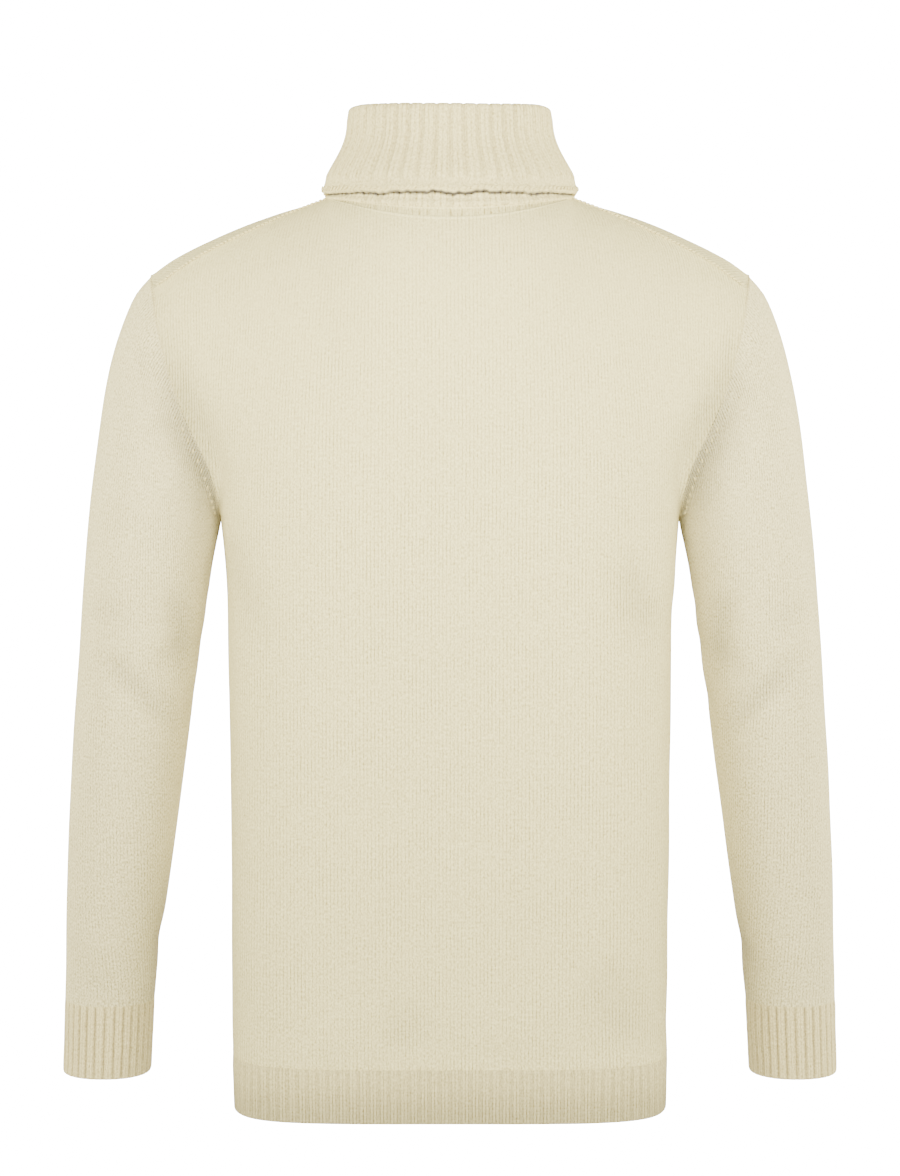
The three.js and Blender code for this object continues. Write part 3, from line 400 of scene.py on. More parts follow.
def unevenness(points):
    """Slack of hand-soft cloth: a sum of long sine waves in all directions, about 1 at most."""
    return np.sin(points @ WAVES.T + WAVE_PHASES).sum(-1) / math.sqrt(WAVE_COUNT) / WAVE_CREST


CREASE_SPAN, CREASE_FADE = 1.15, 1.6
SIDE_BLEND = (-12, 18)


def creases(points, table):
    """Sum of soft troughs and ridges, each along a line in X and Z on the back (+1) or the front (-1).

    A crease's height times the bell curve of the distance to its line, fading at its two ends.
    """
    total = np.zeros(points.shape[:-1])
    for side, x0, z0, x1, z1, width, height in table:
        start, run = np.array([x0, z0]), np.array([x1 - x0, z1 - z0])
        offset = points[..., [0, 2]] - start
        share = offset @ run / (run @ run)
        away = np.linalg.norm(offset - np.clip(share, 0, 1)[..., None] * run, axis=-1)
        ends = ease(CREASE_SPAN - np.abs(share - 0.5) * CREASE_FADE)
        on_side = ramp(points[..., 1] * side, *SIDE_BLEND)
        total += height * bell(away, width) * ends * on_side
    return total


def piece(name, points, faces, uv=None):
    """A new smooth mesh object from points in millimetres and faces of point numbers."""
    mesh = bpy.data.meshes.new(name)
    mesh.from_pydata((points * MM).tolist(), [], faces.tolist())
    mesh.polygons.foreach_set("use_smooth", np.ones(len(faces), bool))
    if uv is not None:
        mesh.uv_layers.new(name="cloth").data.foreach_set("uv", (uv * MM).astype(np.float32).ravel())
    mesh.update()
    made = bpy.data.objects.new(name, mesh)
    bpy.context.scene.collection.objects.link(made)
    return made


def wall(name, outer, inner, uv, closed=False, hole=None, **shares):
    """A closed wall between an outer and an inner grid, with edges wherever a cell has no neighbour.

    A closed wall joins its last column to its first, and its uv grid has one column more. The
    shares, 0 to 1 at every place of the grid, become attributes that the wool's material reads.
    """
    rows, columns = outer.shape[:2]
    cells = np.ones((rows - 1, columns - (0 if closed else 1)), bool)
    if hole is not None:
        cells &= ~hole
    around = np.zeros((rows + 1, cells.shape[1] + 2), bool)
    around[1:-1, 1:-1] = cells
    if closed:
        around[1:-1, 0], around[1:-1, -1] = cells[:, -1], cells[:, 0]
    number = np.arange(rows * columns).reshape(rows, columns)
    wide = uv.shape[1]

    def quads(mask, corners, layers):
        i, j = np.nonzero(mask)
        faces = [number[i + a, (j + b) % columns] + layer * number.size
                 for (a, b), layer in zip(corners, layers)]
        places = [(i + a) * wide + j + b for a, b in corners]
        return np.column_stack(faces), np.column_stack(places)

    a, b, c, d = (0, 0), (0, 1), (1, 1), (1, 0)
    parts = [quads(cells, (a, b, c, d), (0, 0, 0, 0)), quads(cells, (d, c, b, a), (1, 1, 1, 1))]
    beyond = (around[:-2, 1:-1], around[1:-1, 2:], around[2:, 1:-1], around[1:-1, :-2])
    for there, (near, far) in zip(beyond, ((a, b), (b, c), (c, d), (d, a))):
        parts.append(quads(cells & ~there, (far, near, near, far), (0, 0, 1, 1)))
    faces, places = (np.concatenate(part) for part in zip(*parts))
    points = np.concatenate([outer.reshape(-1, 3), inner.reshape(-1, 3)])
    p, q, r, s = (points[faces[:, k]] for k in range(4))
    if np.einsum("ij,ij->i", p, np.cross(q, r) + np.cross(r, s)).sum() < 0:
        faces, places = faces[:, ::-1], places[:, ::-1]
    made = piece(name, points, faces, uv.reshape(-1, 2)[places.ravel()])
    for share_name, share in shares.items():
        values = np.broadcast_to(share, outer.shape[:2]).astype(np.float32).ravel()
        attribute = made.data.attributes.new(share_name, "FLOAT", "POINT")
        attribute.data.foreach_set("value", np.tile(values, 2))
    return made


class Number:
    """A number that changes over a surface: a shader socket, on which arithmetic adds Math nodes."""

    def __init__(self, shader, socket):
        self.shader, self.socket = shader, socket

    def math(self, operation, *others):
        values = dict(enumerate((self, *others)))
        return self.shader.node("ShaderNodeMath", values, operation=operation)

    __add__ = __radd__ = functools.partialmethod(math, "ADD")
    __mul__ = __rmul__ = functools.partialmethod(math, "MULTIPLY")
    __sub__ = functools.partialmethod(math, "SUBTRACT")
    __truediv__ = functools.partialmethod(math, "DIVIDE")
    __pow__ = functools.partialmethod(math, "POWER")

    def __rsub__(self, other):
        return self.shader.node("ShaderNodeMath", {0: other, 1: self}, operation="SUBTRACT")

    def clamp(self):
        return self.shader.node("ShaderNodeClamp", {0: self})


class Shader:
    """A new material, whose nodes are added one by one."""

    def __init__(self, name):
        self.material = bpy.data.materials.new(name)
        self.material.use_nodes = True
        self.tree = self.material.node_tree
        self.tree.nodes.clear()

    def node(self, kind, values, output=0, **settings):
        """Adds a node with settings, and sets or links the sockets named or numbered in values."""
        made = self.tree.nodes.new(kind)
        for name, setting in settings.items():
            setattr(made, name, setting)
        for name, value in values.items():
            if isinstance(value, Number):
                self.tree.links.new(value.socket, made.inputs[name])
            else:
                made.inputs[name].default_value = value
        return Number(self, made.outputs[output]) if made.outputs else None

    def object_place(self):
        """The place in the object, in metres."""
        return self.node("ShaderNodeTexCoord", {}, output=3)

    def cloth_place(self):
        """The place on the cloth's uv map, in metres."""
        return self.node("ShaderNodeUVMap", {}, uv_map="cloth")

    def part_of(self, place, axis):
        """One number of a place."""
        return self.node("ShaderNodeSeparateXYZ", {0: place}, output=axis)

    def share(self, name):
        """A share that `wall` has stored on the mesh, or 0 where it has none."""
        return self.node("ShaderNodeAttribute", {}, output=2, attribute_name=name)

    def colour(self, a, b, share, how="MIX"):
        """From colour a to colour b by a share, or b laid over a in another way."""
        values = {0: share, 6: a, 7: b}
        return self.node("ShaderNodeMix", values, output=2, data_type="RGBA", blend_type=how)

    def bump(self, height, millimetres, strength=1.0):
        """Normals of a relief, so many millimetres deep."""
        values = {"Strength": strength, "Distance": millimetres * MM, "Height": height}
        return self.node("ShaderNodeBump", values)

    def noise(self, place, scale, detail=2.0, roughness=0.5, stretch=(1, 1, 1)):
        """Even noise from 0 to 1 at a place, with `scale` lumps to the metre."""
        moved = self.node("ShaderNodeMapping", {"Vector": place, "Scale": stretch})
        values = {"Vector": moved, "Scale": scale, "Detail": detail, "Roughness": roughness}
        return self.node("ShaderNodeTexNoise", values)

    def finish(self, **values):
        """Ends the material in a Principled shader with the given socket values."""
        named = {name.replace("_", " "): value for name, value in values.items()}
        surface = self.node("ShaderNodeBsdfPrincipled", named)
        self.node("ShaderNodeOutputMaterial", {"Surface": surface})
        return self.material

    def finish_wool(self, colour, sheen, bump):
        """Ends the material as dull wool with a soft sheen of loose fibres."""
        return self.finish(
            Base_Color=colour, Roughness=0.92, Sheen_Weight=0.25, Sheen_Roughness=0.55,
            Sheen_Tint=sheen, Specular_IOR_Level=0.15, Normal=bump)


def linear(red, green, blue):
    """A colour given as 0 to 255 on screen, as light."""
    return (*(((c / 255 + 0.055) / 1.055) ** 2.4 for c in (red, green, blue)), 1)


WALE = 2.8
COURSE = 2.1
WALES_A_RIB = 3
FUZZ = 1000
FUZZ_TONE = 1.8
KNIT_TONE = 0.9
NECK_BAND = 10.5
NECK_BAND_REACH = 20
V_DEPTH = 0.9  # in courses
TONE_MIDDLE = 0.62
RIDGE_AT, RIDGE_HALF = 1.2, 1.7
VALLEY_FROM = 0.74
WORN_FROM, WORN_TO = -0.23, -0.06  # heights in metres
PATCH_SHADE = (0.93, 0.93, 0.93, 1)
# Tint of the painted shade in the valleys between ribs
VALLEY_SHADE = (0.3, 0.26, 0.18, 1)
# Tint of the painted shade, where cloth lies close to other cloth or in valleys and creases
PAINTED_SHADE_TINT = (0.1, 0.1, 0.19, 1)


def knitted_wool(name, light, shade, relief, wales, valley=0.0, worn=0.0, fuzzy=FUZZ_TONE):
    """Plain knitting in fulled lambswool, on a uv map of lengths across and along the wales.

    A wale's height falls off to its two sides. Two yarn legs stand up in it and meet in a V at
    every course. Fuzz of three sizes lies over the stitches, and hides them here and there;
    `wales` is how clearly they show. `valley` is how much shade is painted into the line between
    two ribs, every three wales.
    Beside the neck seam runs a ridge, then a band of pulled stitches that ends in a second ridge.
    Painted shade darkens the cloth by its own share, where it lies close against other cloth,
    in valleys and creases, and where it faces away from the lamps; there the stitches show more
    clearly. `worn` is how much calmer the stitches look over the shoulders, where the cloth is
    stretched, than lower down.
    """
    shader = Shader(name)
    uv, body = shader.cloth_place(), shader.object_place()
    close, rolled, near_neck = (shader.share(what) for what in ("close", "rolled", "near_neck"))
    wander = (shader.noise(body, 160) - 0.5) * 0.9
    across = shader.part_of(uv, 0) / (WALE * MM) + wander * 0.35
    along = shader.part_of(uv, 1) / (COURSE * MM) + wander
    off = (across.math("FRACT") - 0.5).math("ABSOLUTE") * 2
    legs = 0.5 - (off * 2 * math.pi).math("COSINE") * 0.5
    stitch = ((along - off * V_DEPTH) * 2 * math.pi).math("COSINE") * 0.5 + 0.5
    fine = shader.noise(uv, FUZZ, 2, 0.6, (1, 0.5, 1))
    medium, large = (shader.noise(body, scale, 2, 0.6) for scale in (320, 45))
    dashes = shader.noise(uv, 400, 2, 0.7, (1, 0.2, 1))
    clear = (large * 1.8 + dashes * 2.4 - 1.6).clamp() * 0.85 + 0.15 + close * 1.6
    knit = ((1 - off**2) * 0.8 + stitch * legs * 0.3 - 0.6) * (clear * (1 - rolled) * wales)
    height = knit + fine * 0.6 + medium * 0.5
    # The stitch term paints shade into the hollows between the wales and lightens their tops; the fuzz
    # and mottle are the wool's own random tone
    tone = knit * KNIT_TONE + (fine - 0.5) * fuzzy + (medium - 0.5) * 0.5
    if worn:
        shoulders = ((shader.part_of(body, 2) - WORN_FROM) / (WORN_TO - WORN_FROM)).clamp()
        tone = tone * (1.14 - shoulders * worn)
    tone = (tone + TONE_MIDDLE).clamp()

    from_neck = (1 - near_neck) * NECK_BAND_REACH
    ridge, second = ((1 - ((from_neck - at) / RIDGE_HALF) ** 2).clamp()
                     for at in (RIDGE_AT, NECK_BAND))
    inside = ((from_neck - 2.2) / 1.5).clamp() * ((NECK_BAND - 1 - from_neck) / 1.5).clamp()
    pulled = ((shader.noise(uv, 800, 1, 0.5, (1, 0.1, 1)) - 0.5) * 5).clamp() * inside
    height = height + (ridge + second) * 0.9 - pulled * 0.8
    # Painted highlight on the neck ridges and painted shade in the pulled band, along with their relief
    tone = (tone + (ridge + second) * 0.2 - pulled * 0.6).clamp()

    colour = shader.colour(shade, light, tone)
    patches = shader.noise(body, 14, 2) * 0.5
    colour = shader.colour(colour, PATCH_SHADE, patches, "MULTIPLY")
    # Painted shade in the narrow valleys between ribs, except on the roll
    if valley:
        rib = ((across + 0.5) / WALES_A_RIB).math("FRACT")
        deep = ((rib - 0.5).math("ABSOLUTE") * 2 - VALLEY_FROM) / (1 - VALLEY_FROM)
        deep = deep.clamp() * (1 - rolled)
        colour = shader.colour(colour, VALLEY_SHADE, deep * valley, "MULTIPLY")
        height = height - deep * 1.5
    # Painted shade, by the share that each piece stores
    colour = shader.colour(colour, PAINTED_SHADE_TINT, close, "MULTIPLY")
    return shader.finish_wool(colour, light, shader.bump(height, relief))


wool = knitted_wool(
    "cream_lambswool", linear(244, 238, 214), linear(176, 164, 130), 0.5, 0.8, worn=0.4)


def dress(made, node, material):
    """Gives a piece its material, hangs it under the garment's empty, and hides the frame's node that
    it stands for, if any.
    """
    made.data.materials.append(material)
    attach(made, "garment")
    if node:
        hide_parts(node)
    return made


KNIT_WALL = 2.4
PANEL_STEP = 5
JOINED_ROUND = 0.15
SLACK = 0.7
GIVE = 25  # width of the edges that are held by a seam
# Painted shade in the troughs of creases, per millimetre of their depth
CREASE_SHADE = 0.06
PANEL_VALLEY = (4, 7, 13)  # depth, distance from the armhole seam, width
# Painted shade beside the armhole seam, and on the front's strip over the shoulder, which faces up
ARMHOLE_SHADE, ARMHOLE_SHADE_WIDTH = 0.36, 19
CREST_SHADE = 0.12
BODY_CREASES = [  # side, x and z of both ends, width, height
    (BACK, -131, -262, -151, -330, 15, -2.7),
    (BACK, -150, -250, -168, -300, 9, 1.8),
    (BACK, 168, -250, 140, -330, 13, -1.8),
    (BACK, 30, -600, 45, -650, 22, -1.8),
    (BACK, 95, -612, 60, -640, 26, 1.8),
    (BACK, -40, -600, -20, -640, 24, 1.8),
    (BACK, -95, -560, -150, -645, 24, -2.2),
    (BACK, -60, -625, -110, -545, 20, 1.5),
    (FRONT, 120, -262, 150, -330, 16, -2.4),
    (FRONT, -125, -258, -146, -318, 14, -2.4),
    (FRONT, 70, -585, 95, -645, 24, -2.1),
    (FRONT, -60, -595, -85, -645, 22, -1.8),
    (FRONT, 20, -590, -20, -640, 26, 1.5),
]

SHOULDER_LOW = -150
CORNER_DIP = 1.9
CORNER_WIDTH = 10


def shoulder_dip(from_seam, z):
    """How far the cloth sinks beside the armhole seam, near the shoulder's height alone."""
    return CORNER_DIP * bell(from_seam, CORNER_WIDTH) * ramp(z, SHOULDER_LOW, SHOULDER_LOW + 60)


def distance_to_slit(runs):
    """Distance to the slit along each row of the front panel, whose middle column lies in it."""
    middle = runs.shape[1] // 2
    near_edge = np.where(np.arange(runs.shape[1]) < middle,
                         runs[:, middle - 1:middle], runs[:, middle + 1:middle + 2])
    distance = np.abs(runs - near_edge)
    distance[:, middle] = 0
    return distance


def knit_walls(grid, normals, edge):
    """Outer and inner grids of plain knitting, its edges rounded a little where they are joined."""
    back = rounding(edge, JOINED_ROUND)[..., None]
    return grid - normals * back, grid - normals * (KNIT_WALL - back)


def panel(name, node, side):
    """One panel: its sections refined, a little slack and its creases, then a wall with round edges."""
    sections = panel_sections(side)
    heights = lengths(sections, 0).mean(1)
    up = stops(0, heights[-1], PANEL_STEP)
    rows = refine(sections, up, 0)
    columns = lengths(rows, 1).mean(0)
    if side == FRONT:
        half = stops(0, columns[HALF_COLUMNS - 1], PANEL_STEP)
        across = np.concatenate([half, [columns[-1] / 2], columns[-1] - half[::-1]])
    else:
        across = stops(0, columns[-1], PANEL_STEP)
    grid = refine(rows, across, 1)
    normals = normals_of(grid, (0, side, 0))
    runs, rises = lengths(grid, 1), lengths(grid, 0)
    from_sleeve, from_top = np.minimum(runs, runs[:, -1:] - runs), rises[-1] - rises
    edge = np.minimum(from_sleeve, np.minimum(rises, from_top))
    middle = len(across) // 2
    hole = None
    if side == FRONT:
        above = up > heights[BODY_ROWS] - 0.01
        edge = np.where(above[:, None], np.minimum(edge, distance_to_slit(runs)), edge)
        hole = np.zeros((len(up) - 1, len(across) - 1), bool)
        hole[above[:-1], middle - 1:middle + 1] = True

    z = grid[..., 2]
    corner = shoulder_dip(from_sleeve, z)
    depth, away, width = PANEL_VALLEY
    beside_chest = ramp(z, -95, -175) * ramp(z, UNDERARM, UNDERARM + 45)
    trough = depth * bell(from_sleeve - away, width) * ease(from_sleeve / 6) * beside_chest
    give = ease(edge / GIVE)
    folds = creases(grid, BODY_CREASES) * give
    grid = grid + normals * (SLACK * unevenness(grid) * give + folds - trough)[..., None]
    grid[..., 2] -= corner
    outer, inner = knit_walls(grid, normals, edge)

    z, top_x = grid[..., 2], np.abs(grid[-1, :, 0])
    band = NECK_BAND * (1 - 0.5 * (top_x / NECK_RADIUS) ** 2)
    near_neck = np.clip(1 - from_top * NECK_BAND / band / NECK_BAND_REACH, 0, 1)
    near_neck = near_neck * (top_x < NECK_RADIUS * 0.97)
    # Painted shade: along the armhole's valley, in the creases' troughs, and on the front's strip over
    # the shoulder
    close = ARMHOLE_SHADE * bell(from_sleeve, ARMHOLE_SHADE_WIDTH)
    close = close * ramp(z, -62, -157) * ramp(z, -250, -140)
    close = close + CREASE_SHADE * np.clip(-folds, 0, 4)
    if side == FRONT:
        crest = ramp(from_top, 26, 10) * ramp(top_x, NECK_RADIUS, NECK_RADIUS + 60)
        close = np.maximum(close, CREST_SHADE * crest)
    uv = np.stack([runs - runs[:, middle:middle + 1], rises], -1)
    made = wall(name, outer, inner, uv, hole=hole, near_neck=near_neck, close=close)
    return dress(made, node, wool), sections


back_knit, _ = panel("knit_back", "back_panel", BACK)
front_knit, front_sections = panel("knit_front", "front_panel", FRONT)

# ---- Sleeves ----
# Each is one tapered piece of plain knitting, set into the armhole and closed by a seam under
# the arm, where the uv map has its edge. The elbow gives in soft folds.

SLEEVE_TURNS = 152
SLEEVE_STEP = 5
ELBOW_CREASES = [  # side, x and z of both ends, width, height
    (BACK, 262, -342, 212, -402, 11, -3.5),
    (BACK, 252, -366, 214, -412, 8, 1.9),
    (BACK, 208, -290, 203, -352, 9, -2.9),
    (BACK, 196, -330, 226, -352, 8, -1.6),
    (BACK, 272, -300, 240, -318, 12, -1.3),
    (BACK, 288, -560, 250, -590, 14, 1.4),
    (BACK, 284, -600, 258, -612, 9, -1.3),
    (FRONT, 190, -300, 238, -322, 10, -4.2),
    (FRONT, 194, -330, 252, -352, 11, -4.5),
    (FRONT, 200, -372, 248, -384, 10, -3.5),
    (FRONT, 204, -345, 250, -368, 8, 2.2),
    (FRONT, 212, -560, 262, -596, 12, -1.9),
]
UNDERARM_CREASES = [
    (BACK, 190, -170, 216, -236, 11, 1.2),
    (BACK, 214, -218, 192, -217, 2.6, -0.8),
    (FRONT, 196, -165, 224, -228, 11, 1),
]
VALLEY_DEPTH = 6
VALLEY_WIDTH = 12
RIGHT_SHIFT = (0, -9, 4)  # of the elbow's creases, against their table
LEFT_SHIFT = (0, 6, 0)
SIDES = (("left", 1), ("right", -1))

sleeve_wool = knitted_wool(
    "cream_sleeve_wool", linear(244, 238, 221), linear(168, 157, 131), 0.65, 0.76, fuzzy=2.9)


def swayed_sleeve(ring, turn):
    """Points and normals of the left sleeve at rings and turns, swayed near the armhole."""
    points, normals = sleeve_points(through(np.array(SLEEVE, float), ring), turn)
    points[..., 0] += sway(turn) * ((1 - np.clip(ring / 3, 0, 1)) ** 2)[:, None]
    return points, normals


def sleeve_shade(down, round_in, z):
    """Painted shade on a sleeve, at degrees round from its outer line.

    It is darkest behind and before the armhole, where the sleeve lies close to the body, and on the
    inner side at the wrist and the arm.
    """
    at_armhole = mix(0.45, 0.18, ramp(round_in, 110, 155)) * bell(down, 30)
    at_armhole = at_armhole * ramp(round_in, 50, 110) * ramp(round_in, 190, 150)
    at_wrist = 0.46 * ramp(round_in, 115, 175) * ramp(z, -470, -580)
    under_arm = 0.1 * bell(down, 75) * ramp(round_in, 95, 135) * ramp(round_in, 184, 139)
    return np.maximum(at_armhole, at_wrist) + under_arm


def sleeve(name, node, mirror):
    """One sleeve: rings at even steps down its table, swayed near the armhole, then a wall."""
    turn = np.linspace(-math.pi, math.pi, SLEEVE_TURNS, endpoint=False)
    table = np.array(SLEEVE, float)
    key = lengths(sleeve_points(table[:, 1:], turn)[0], 0).mean(1)
    down = stops(0, key[-1], SLEEVE_STEP)
    grid, normals = swayed_sleeve(np.interp(down, key, table[:, 0]), turn)
    down = down[:, None]
    shift = LEFT_SHIFT if mirror > 0 else RIGHT_SHIFT
    folds = creases(grid + shift, ELBOW_CREASES) + creases(grid, UNDERARM_CREASES)
    slack = SLACK * unevenness(grid * [mirror, 1, 1]) + folds
    edge = np.minimum(down, down[-1] - down)
    round_in = np.abs(np.degrees(turn))
    below = ramp(round_in, 60, 110) * ramp(round_in, 180, 150)
    valley = VALLEY_DEPTH * bell(down - 10, VALLEY_WIDTH) * ease(down / 9) * below
    corner = shoulder_dip(down, grid[..., 2])
    grid = grid + normals * (slack * ease(edge / GIVE) - valley)[..., None]
    grid[..., 2] -= corner
    outer, inner = knit_walls(grid, normals, edge * np.ones(len(turn)))
    ringed = np.concatenate([grid, grid[:, :1]], 1)
    runs, falls = lengths(ringed, 1), lengths(ringed, 0)
    uv = np.stack([runs - runs[:, -1:] / 2, falls[-1:] - falls], -1)
    # Painted shade near the body and in the troughs of creases
    close = sleeve_shade(down, round_in, grid[..., 2]) + CREASE_SHADE * np.clip(-folds, 0, 4)
    flip = [mirror, 1, 1]
    made = wall(name, outer * flip, inner * flip, uv, closed=True, close=close)
    dress(made, node, sleeve_wool)


for side_name, mirror in SIDES:
    sleeve(f"knit_sleeve_{side_name}", f"sleeve_{side_name}", mirror)

# ---- Hem ribs ----
# Two bands of 2x2 rib below the panels, stretched nearly flat round the hips. Each ridge is
# two wales of plain knitting and each valley two of purl that have closed up to one.

RIB_WALL = 3
RIB_HEIGHT = 0.9
RIB_MIDDLE = 0.75  # how far up a rib the band's own surface lies
RIB_FADE = 5
RIB_SLACK = 0.2
RIB_STEP = 3.2
HEM_BOTTOM = -691.5
HEM_RIBS = 62
RIB_COLUMNS = 10


def rib_height(place, valley=0.3, dip=0.16):
    """Height of a rib, 0 to 1, at a place counted in ribs: a round-shouldered ridge between valleys.

    The ridge falls off where the valley's share begins, and has a slight dip along its middle.
    """
    off = np.abs(place - np.floor(place) - 0.5) * 2
    return ease((1 - off) / valley) * (1 - 0.22 * off**2 - dip * bell(off, 0.16))


# A darker copy of the body's wool: painted shade over the whole hem, and a little painted shade in the
# rib's valleys
hem_wool = knitted_wool(
    "cream_hem_rib", linear(233, 225, 202), linear(163, 152, 125), 0.5, 0.8, valley=0.06)


def rib_band(name, node, place, ribs, length, closed, material, close, scale):
    """A rib band. `place` gives points and normals at shares of its width and distances down.

    The ribs stand on the face, and sink to half their height round the lower edge.
    """
    columns = ribs * RIB_COLUMNS + (0 if closed else 1)
    share = np.arange(columns) / (ribs * RIB_COLUMNS)
    down = stops(0, length, RIB_STEP)
    points, normals = place(share, down)
    join = down[:, None] * np.ones(columns)
    if not closed:
        along = lengths(points, 1)
        join = np.minimum(join, np.minimum(along, along[:, -1:] - along))
    rib = (rib_height(share * ribs)[None, :] - RIB_MIDDLE) * RIB_HEIGHT * scale
    fade = mix(0.55, 1, ease((length - down) / RIB_FADE)) * ease(down / RIB_FADE)
    drift = RIB_SLACK * unevenness(points * 3) * ease(join / 8)
    back = rounding(join, JOINED_ROUND) + rounding(length - down, RIB_WALL / 2 - 0.1)[:, None]
    back = back[..., None]
    lift = (rib * fade[:, None] + drift)[..., None]
    outer = points + normals * (lift - back)
    inner = points - normals * (RIB_WALL - back)
    wide = np.append(share, 1) if closed else share
    u = (wide * ribs * WALES_A_RIB - 0.5) * WALE
    uv = np.stack(np.broadcast_arrays(u[None, :], (length - down)[:, None]), -1)
    made = wall(name, outer, inner, uv, closed=closed, close=close(share, down[:, None]))
    return dress(made, node, material)


def hem_place(side):
    """Places on one side's hem: half the torso's oval at each height."""
    def place(share, down):
        rows = []
        for z in HEM_TOP - down:
            half_width, back, front, squareness = through(TORSO, z)
            depth = back if side == BACK else front
            points, normals = half_oval(share, half_width, depth, squareness)
            rows.append([np.column_stack([points * [1, side], np.full(len(share), z)]),
                         np.column_stack([normals * [1, side], np.zeros(len(share))])])
        return np.array(rows).swapaxes(0, 1)
    return place


def hem_shade(share, down):
    """Painted shade on the hem: more towards its lower edge and its middle."""
    return 0.31 * ramp(down, 4, 40) + 0.06 * np.sin(math.pi * share)


HEM_LENGTH = HEM_TOP - HEM_BOTTOM
PANELS = (("back", BACK), ("front", FRONT))
for side_name, side in PANELS:
    band = rib_band(f"rib_hem_{side_name}", f"hem_rib_{side_name}", hem_place(side),
                    HEM_RIBS, HEM_LENGTH, False, hem_wool, hem_shade, scale=0.5)

# ---- Cuffs ----
# Tubes of the same rib at the wrists, less stretched, so that the ridges stand higher. They
# lean with the sleeve.

CUFF_BOTTOM = -681
CUFF_TOP = -622
CUFF_RIBS = 32
CUFF_END = (305.4, 236.6, 34, -29)

cuff_wool = knitted_wool(
    "cream_cuff_rib", linear(240, 231, 209), linear(168, 154, 125), 0.5, 0.7, valley=0.5)


def cuff_shade(share, down):
    """Painted shade on a cuff: most on the side that faces the body, all the way down."""
    return 0.38 * ramp(np.minimum(share, 1 - share), 0.2, 0) + 0 * down


def cuff_place(mirror):
    """Places on a cuff: the sleeve's last ring turning evenly into the cuff's end."""
    def place(share, down):
        last = SLEEVE[-1]
        start = np.array([last[1], last[3], last[5], last[6]], float)
        rows = mix(start, np.array(CUFF_END), (down / (CUFF_TOP - CUFF_BOTTOM))[:, None])
        z = CUFF_TOP - down
        row = np.column_stack([rows[:, 0], z, rows[:, 1], z, rows[:, 2], rows[:, 3]])
        points, normals = sleeve_points(row, 2 * math.pi * share + math.pi)
        return points * [mirror, 1, 1], normals * [mirror, 1, 1]
    return place


for side_name, mirror in SIDES:
    cuff = rib_band(f"rib_cuff_{side_name}", f"cuff_{side_name}", cuff_place(mirror),
                    CUFF_RIBS, CUFF_TOP - CUFF_BOTTOM, True, cuff_wool, cuff_shade, scale=1.8)

# ---- Collar ----
# One tall band of rib, linked to the neck seam, that stands up and is turned down over
# itself. Its lower edge is bound off in a thick roll with a soft crease above it.

FOLD_FRONT_DROP = 50
COLLAR_RIBS = 40
COLLAR_LINE = [  # height, radius of the line between stand and leaf
    (3, 93.6), (9, 92.6), (17, 90), (24, 86.4), (32, 81.8), (39, 78.2), (47, 75.2), (55, 73.6),
    (68.6, 72.6),
]
COLLAR_GAP = 1.3
FOLD_TOP = 68.6
LEAF_BOTTOM = 6
PLAIN_EDGE = 12
FOLD_HALF_GAP = 27
LEAF_HALF_GAP = 40
COLLAR_COLUMNS = 11
FOOT_SUNK = 3
TUBE_ROWS = 12
TUBE_SWELL = 3
TUBE_TOP = 0.58
ROUND_SIDE, SIDE_FROM = 1.6, 0.86
COLLAR_RIB_SCALE = 1.55
ROLL_CREASE = (1.3, 8.2, 1.9)  # size, distance above the leaf's lower edge, width
ROLL_SWELL = (0.8, 3.6, 2.8)
ROLL_WALES = (0.2, 4, 3)
SCALLOP, WANDER_REACH = (0.3, 3.5), 11
FAR = 99.0  # stands for the distance of all that is far above the leaf's edge

collar_wool = knitted_wool(
    "cream_collar_rib", linear(242, 234, 210), linear(174, 161, 127), 0.5, 0.8, valley=0.17)


def collar_line(z):
    """Radius of the collar's middle line at heights, and its way out in radius and height."""
    step = 0.5
    radius = through(COLLAR_LINE, z)[:, 0]
    slope = (through(COLLAR_LINE, z + step) - through(COLLAR_LINE, z - step))[:, 0] / (2 * step)
    return radius, unit(np.stack([np.ones(len(z)), -slope], -1))


def collar_stations():
    """Stations of the collar's section, and how many of them, the last ones, are the leaf's.

    Each is a radius, a height, the face's direction, the climb and the half gap. They run up
    the stand with the face inwards, half round the fold, and down the leaf with the face
    outwards.
    """
    def layer(z, way, climb, half_gap):
        radius, out = collar_line(z)
        place = np.column_stack([radius, z]) + way * COLLAR_GAP / 2 * out
        return np.column_stack([place, way * out, climb, half_gap])

    stand = np.array([9, 14, 20, 27, 34, 41, 48, 55, 62, FOLD_TOP])
    leaf = LEAF_BOTTOM + stops(0, FOLD_TOP - LEAF_BOTTOM, 2.2, rim=(0, 0.3, 0.9, 1.7, 2.8))[::-1]
    turn = np.radians(np.arange(15, 180, 15))
    radius = collar_line(stand)[0][-1]
    fold = np.column_stack([
        radius - COLLAR_GAP / 2 * np.cos(turn), FOLD_TOP + COLLAR_GAP / 2 * np.sin(turn),
        -np.cos(turn), np.sin(turn), np.ones(len(turn)), FOLD_HALF_GAP + 2 * turn / math.pi])
    climb, down = stand / FOLD_TOP, (leaf - LEAF_BOTTOM) / (FOLD_TOP - LEAF_BOTTOM)
    rows = [layer(stand, -1, climb, mix(NECK_HALF_GAP, FOLD_HALF_GAP, climb)), fold,
            layer(leaf, 1, np.ones(len(leaf)), mix(LEAF_HALF_GAP, FOLD_HALF_GAP + 2, down))]
    return np.concatenate(rows), len(leaf)


def collar_points(stations, turn, lift):
    """Points of the collar at stations, turns from the centre back and heights off the hidden face."""
    radius, z, face_r, face_z, climb = (stations[:, k:k + 1] for k in range(5))
    drop = mix(NECK_FRONT_DROP, FOLD_FRONT_DROP, climb) * front_dip(turn)
    return neck_ring(radius + face_r * lift, z + face_z * lift - drop, turn)


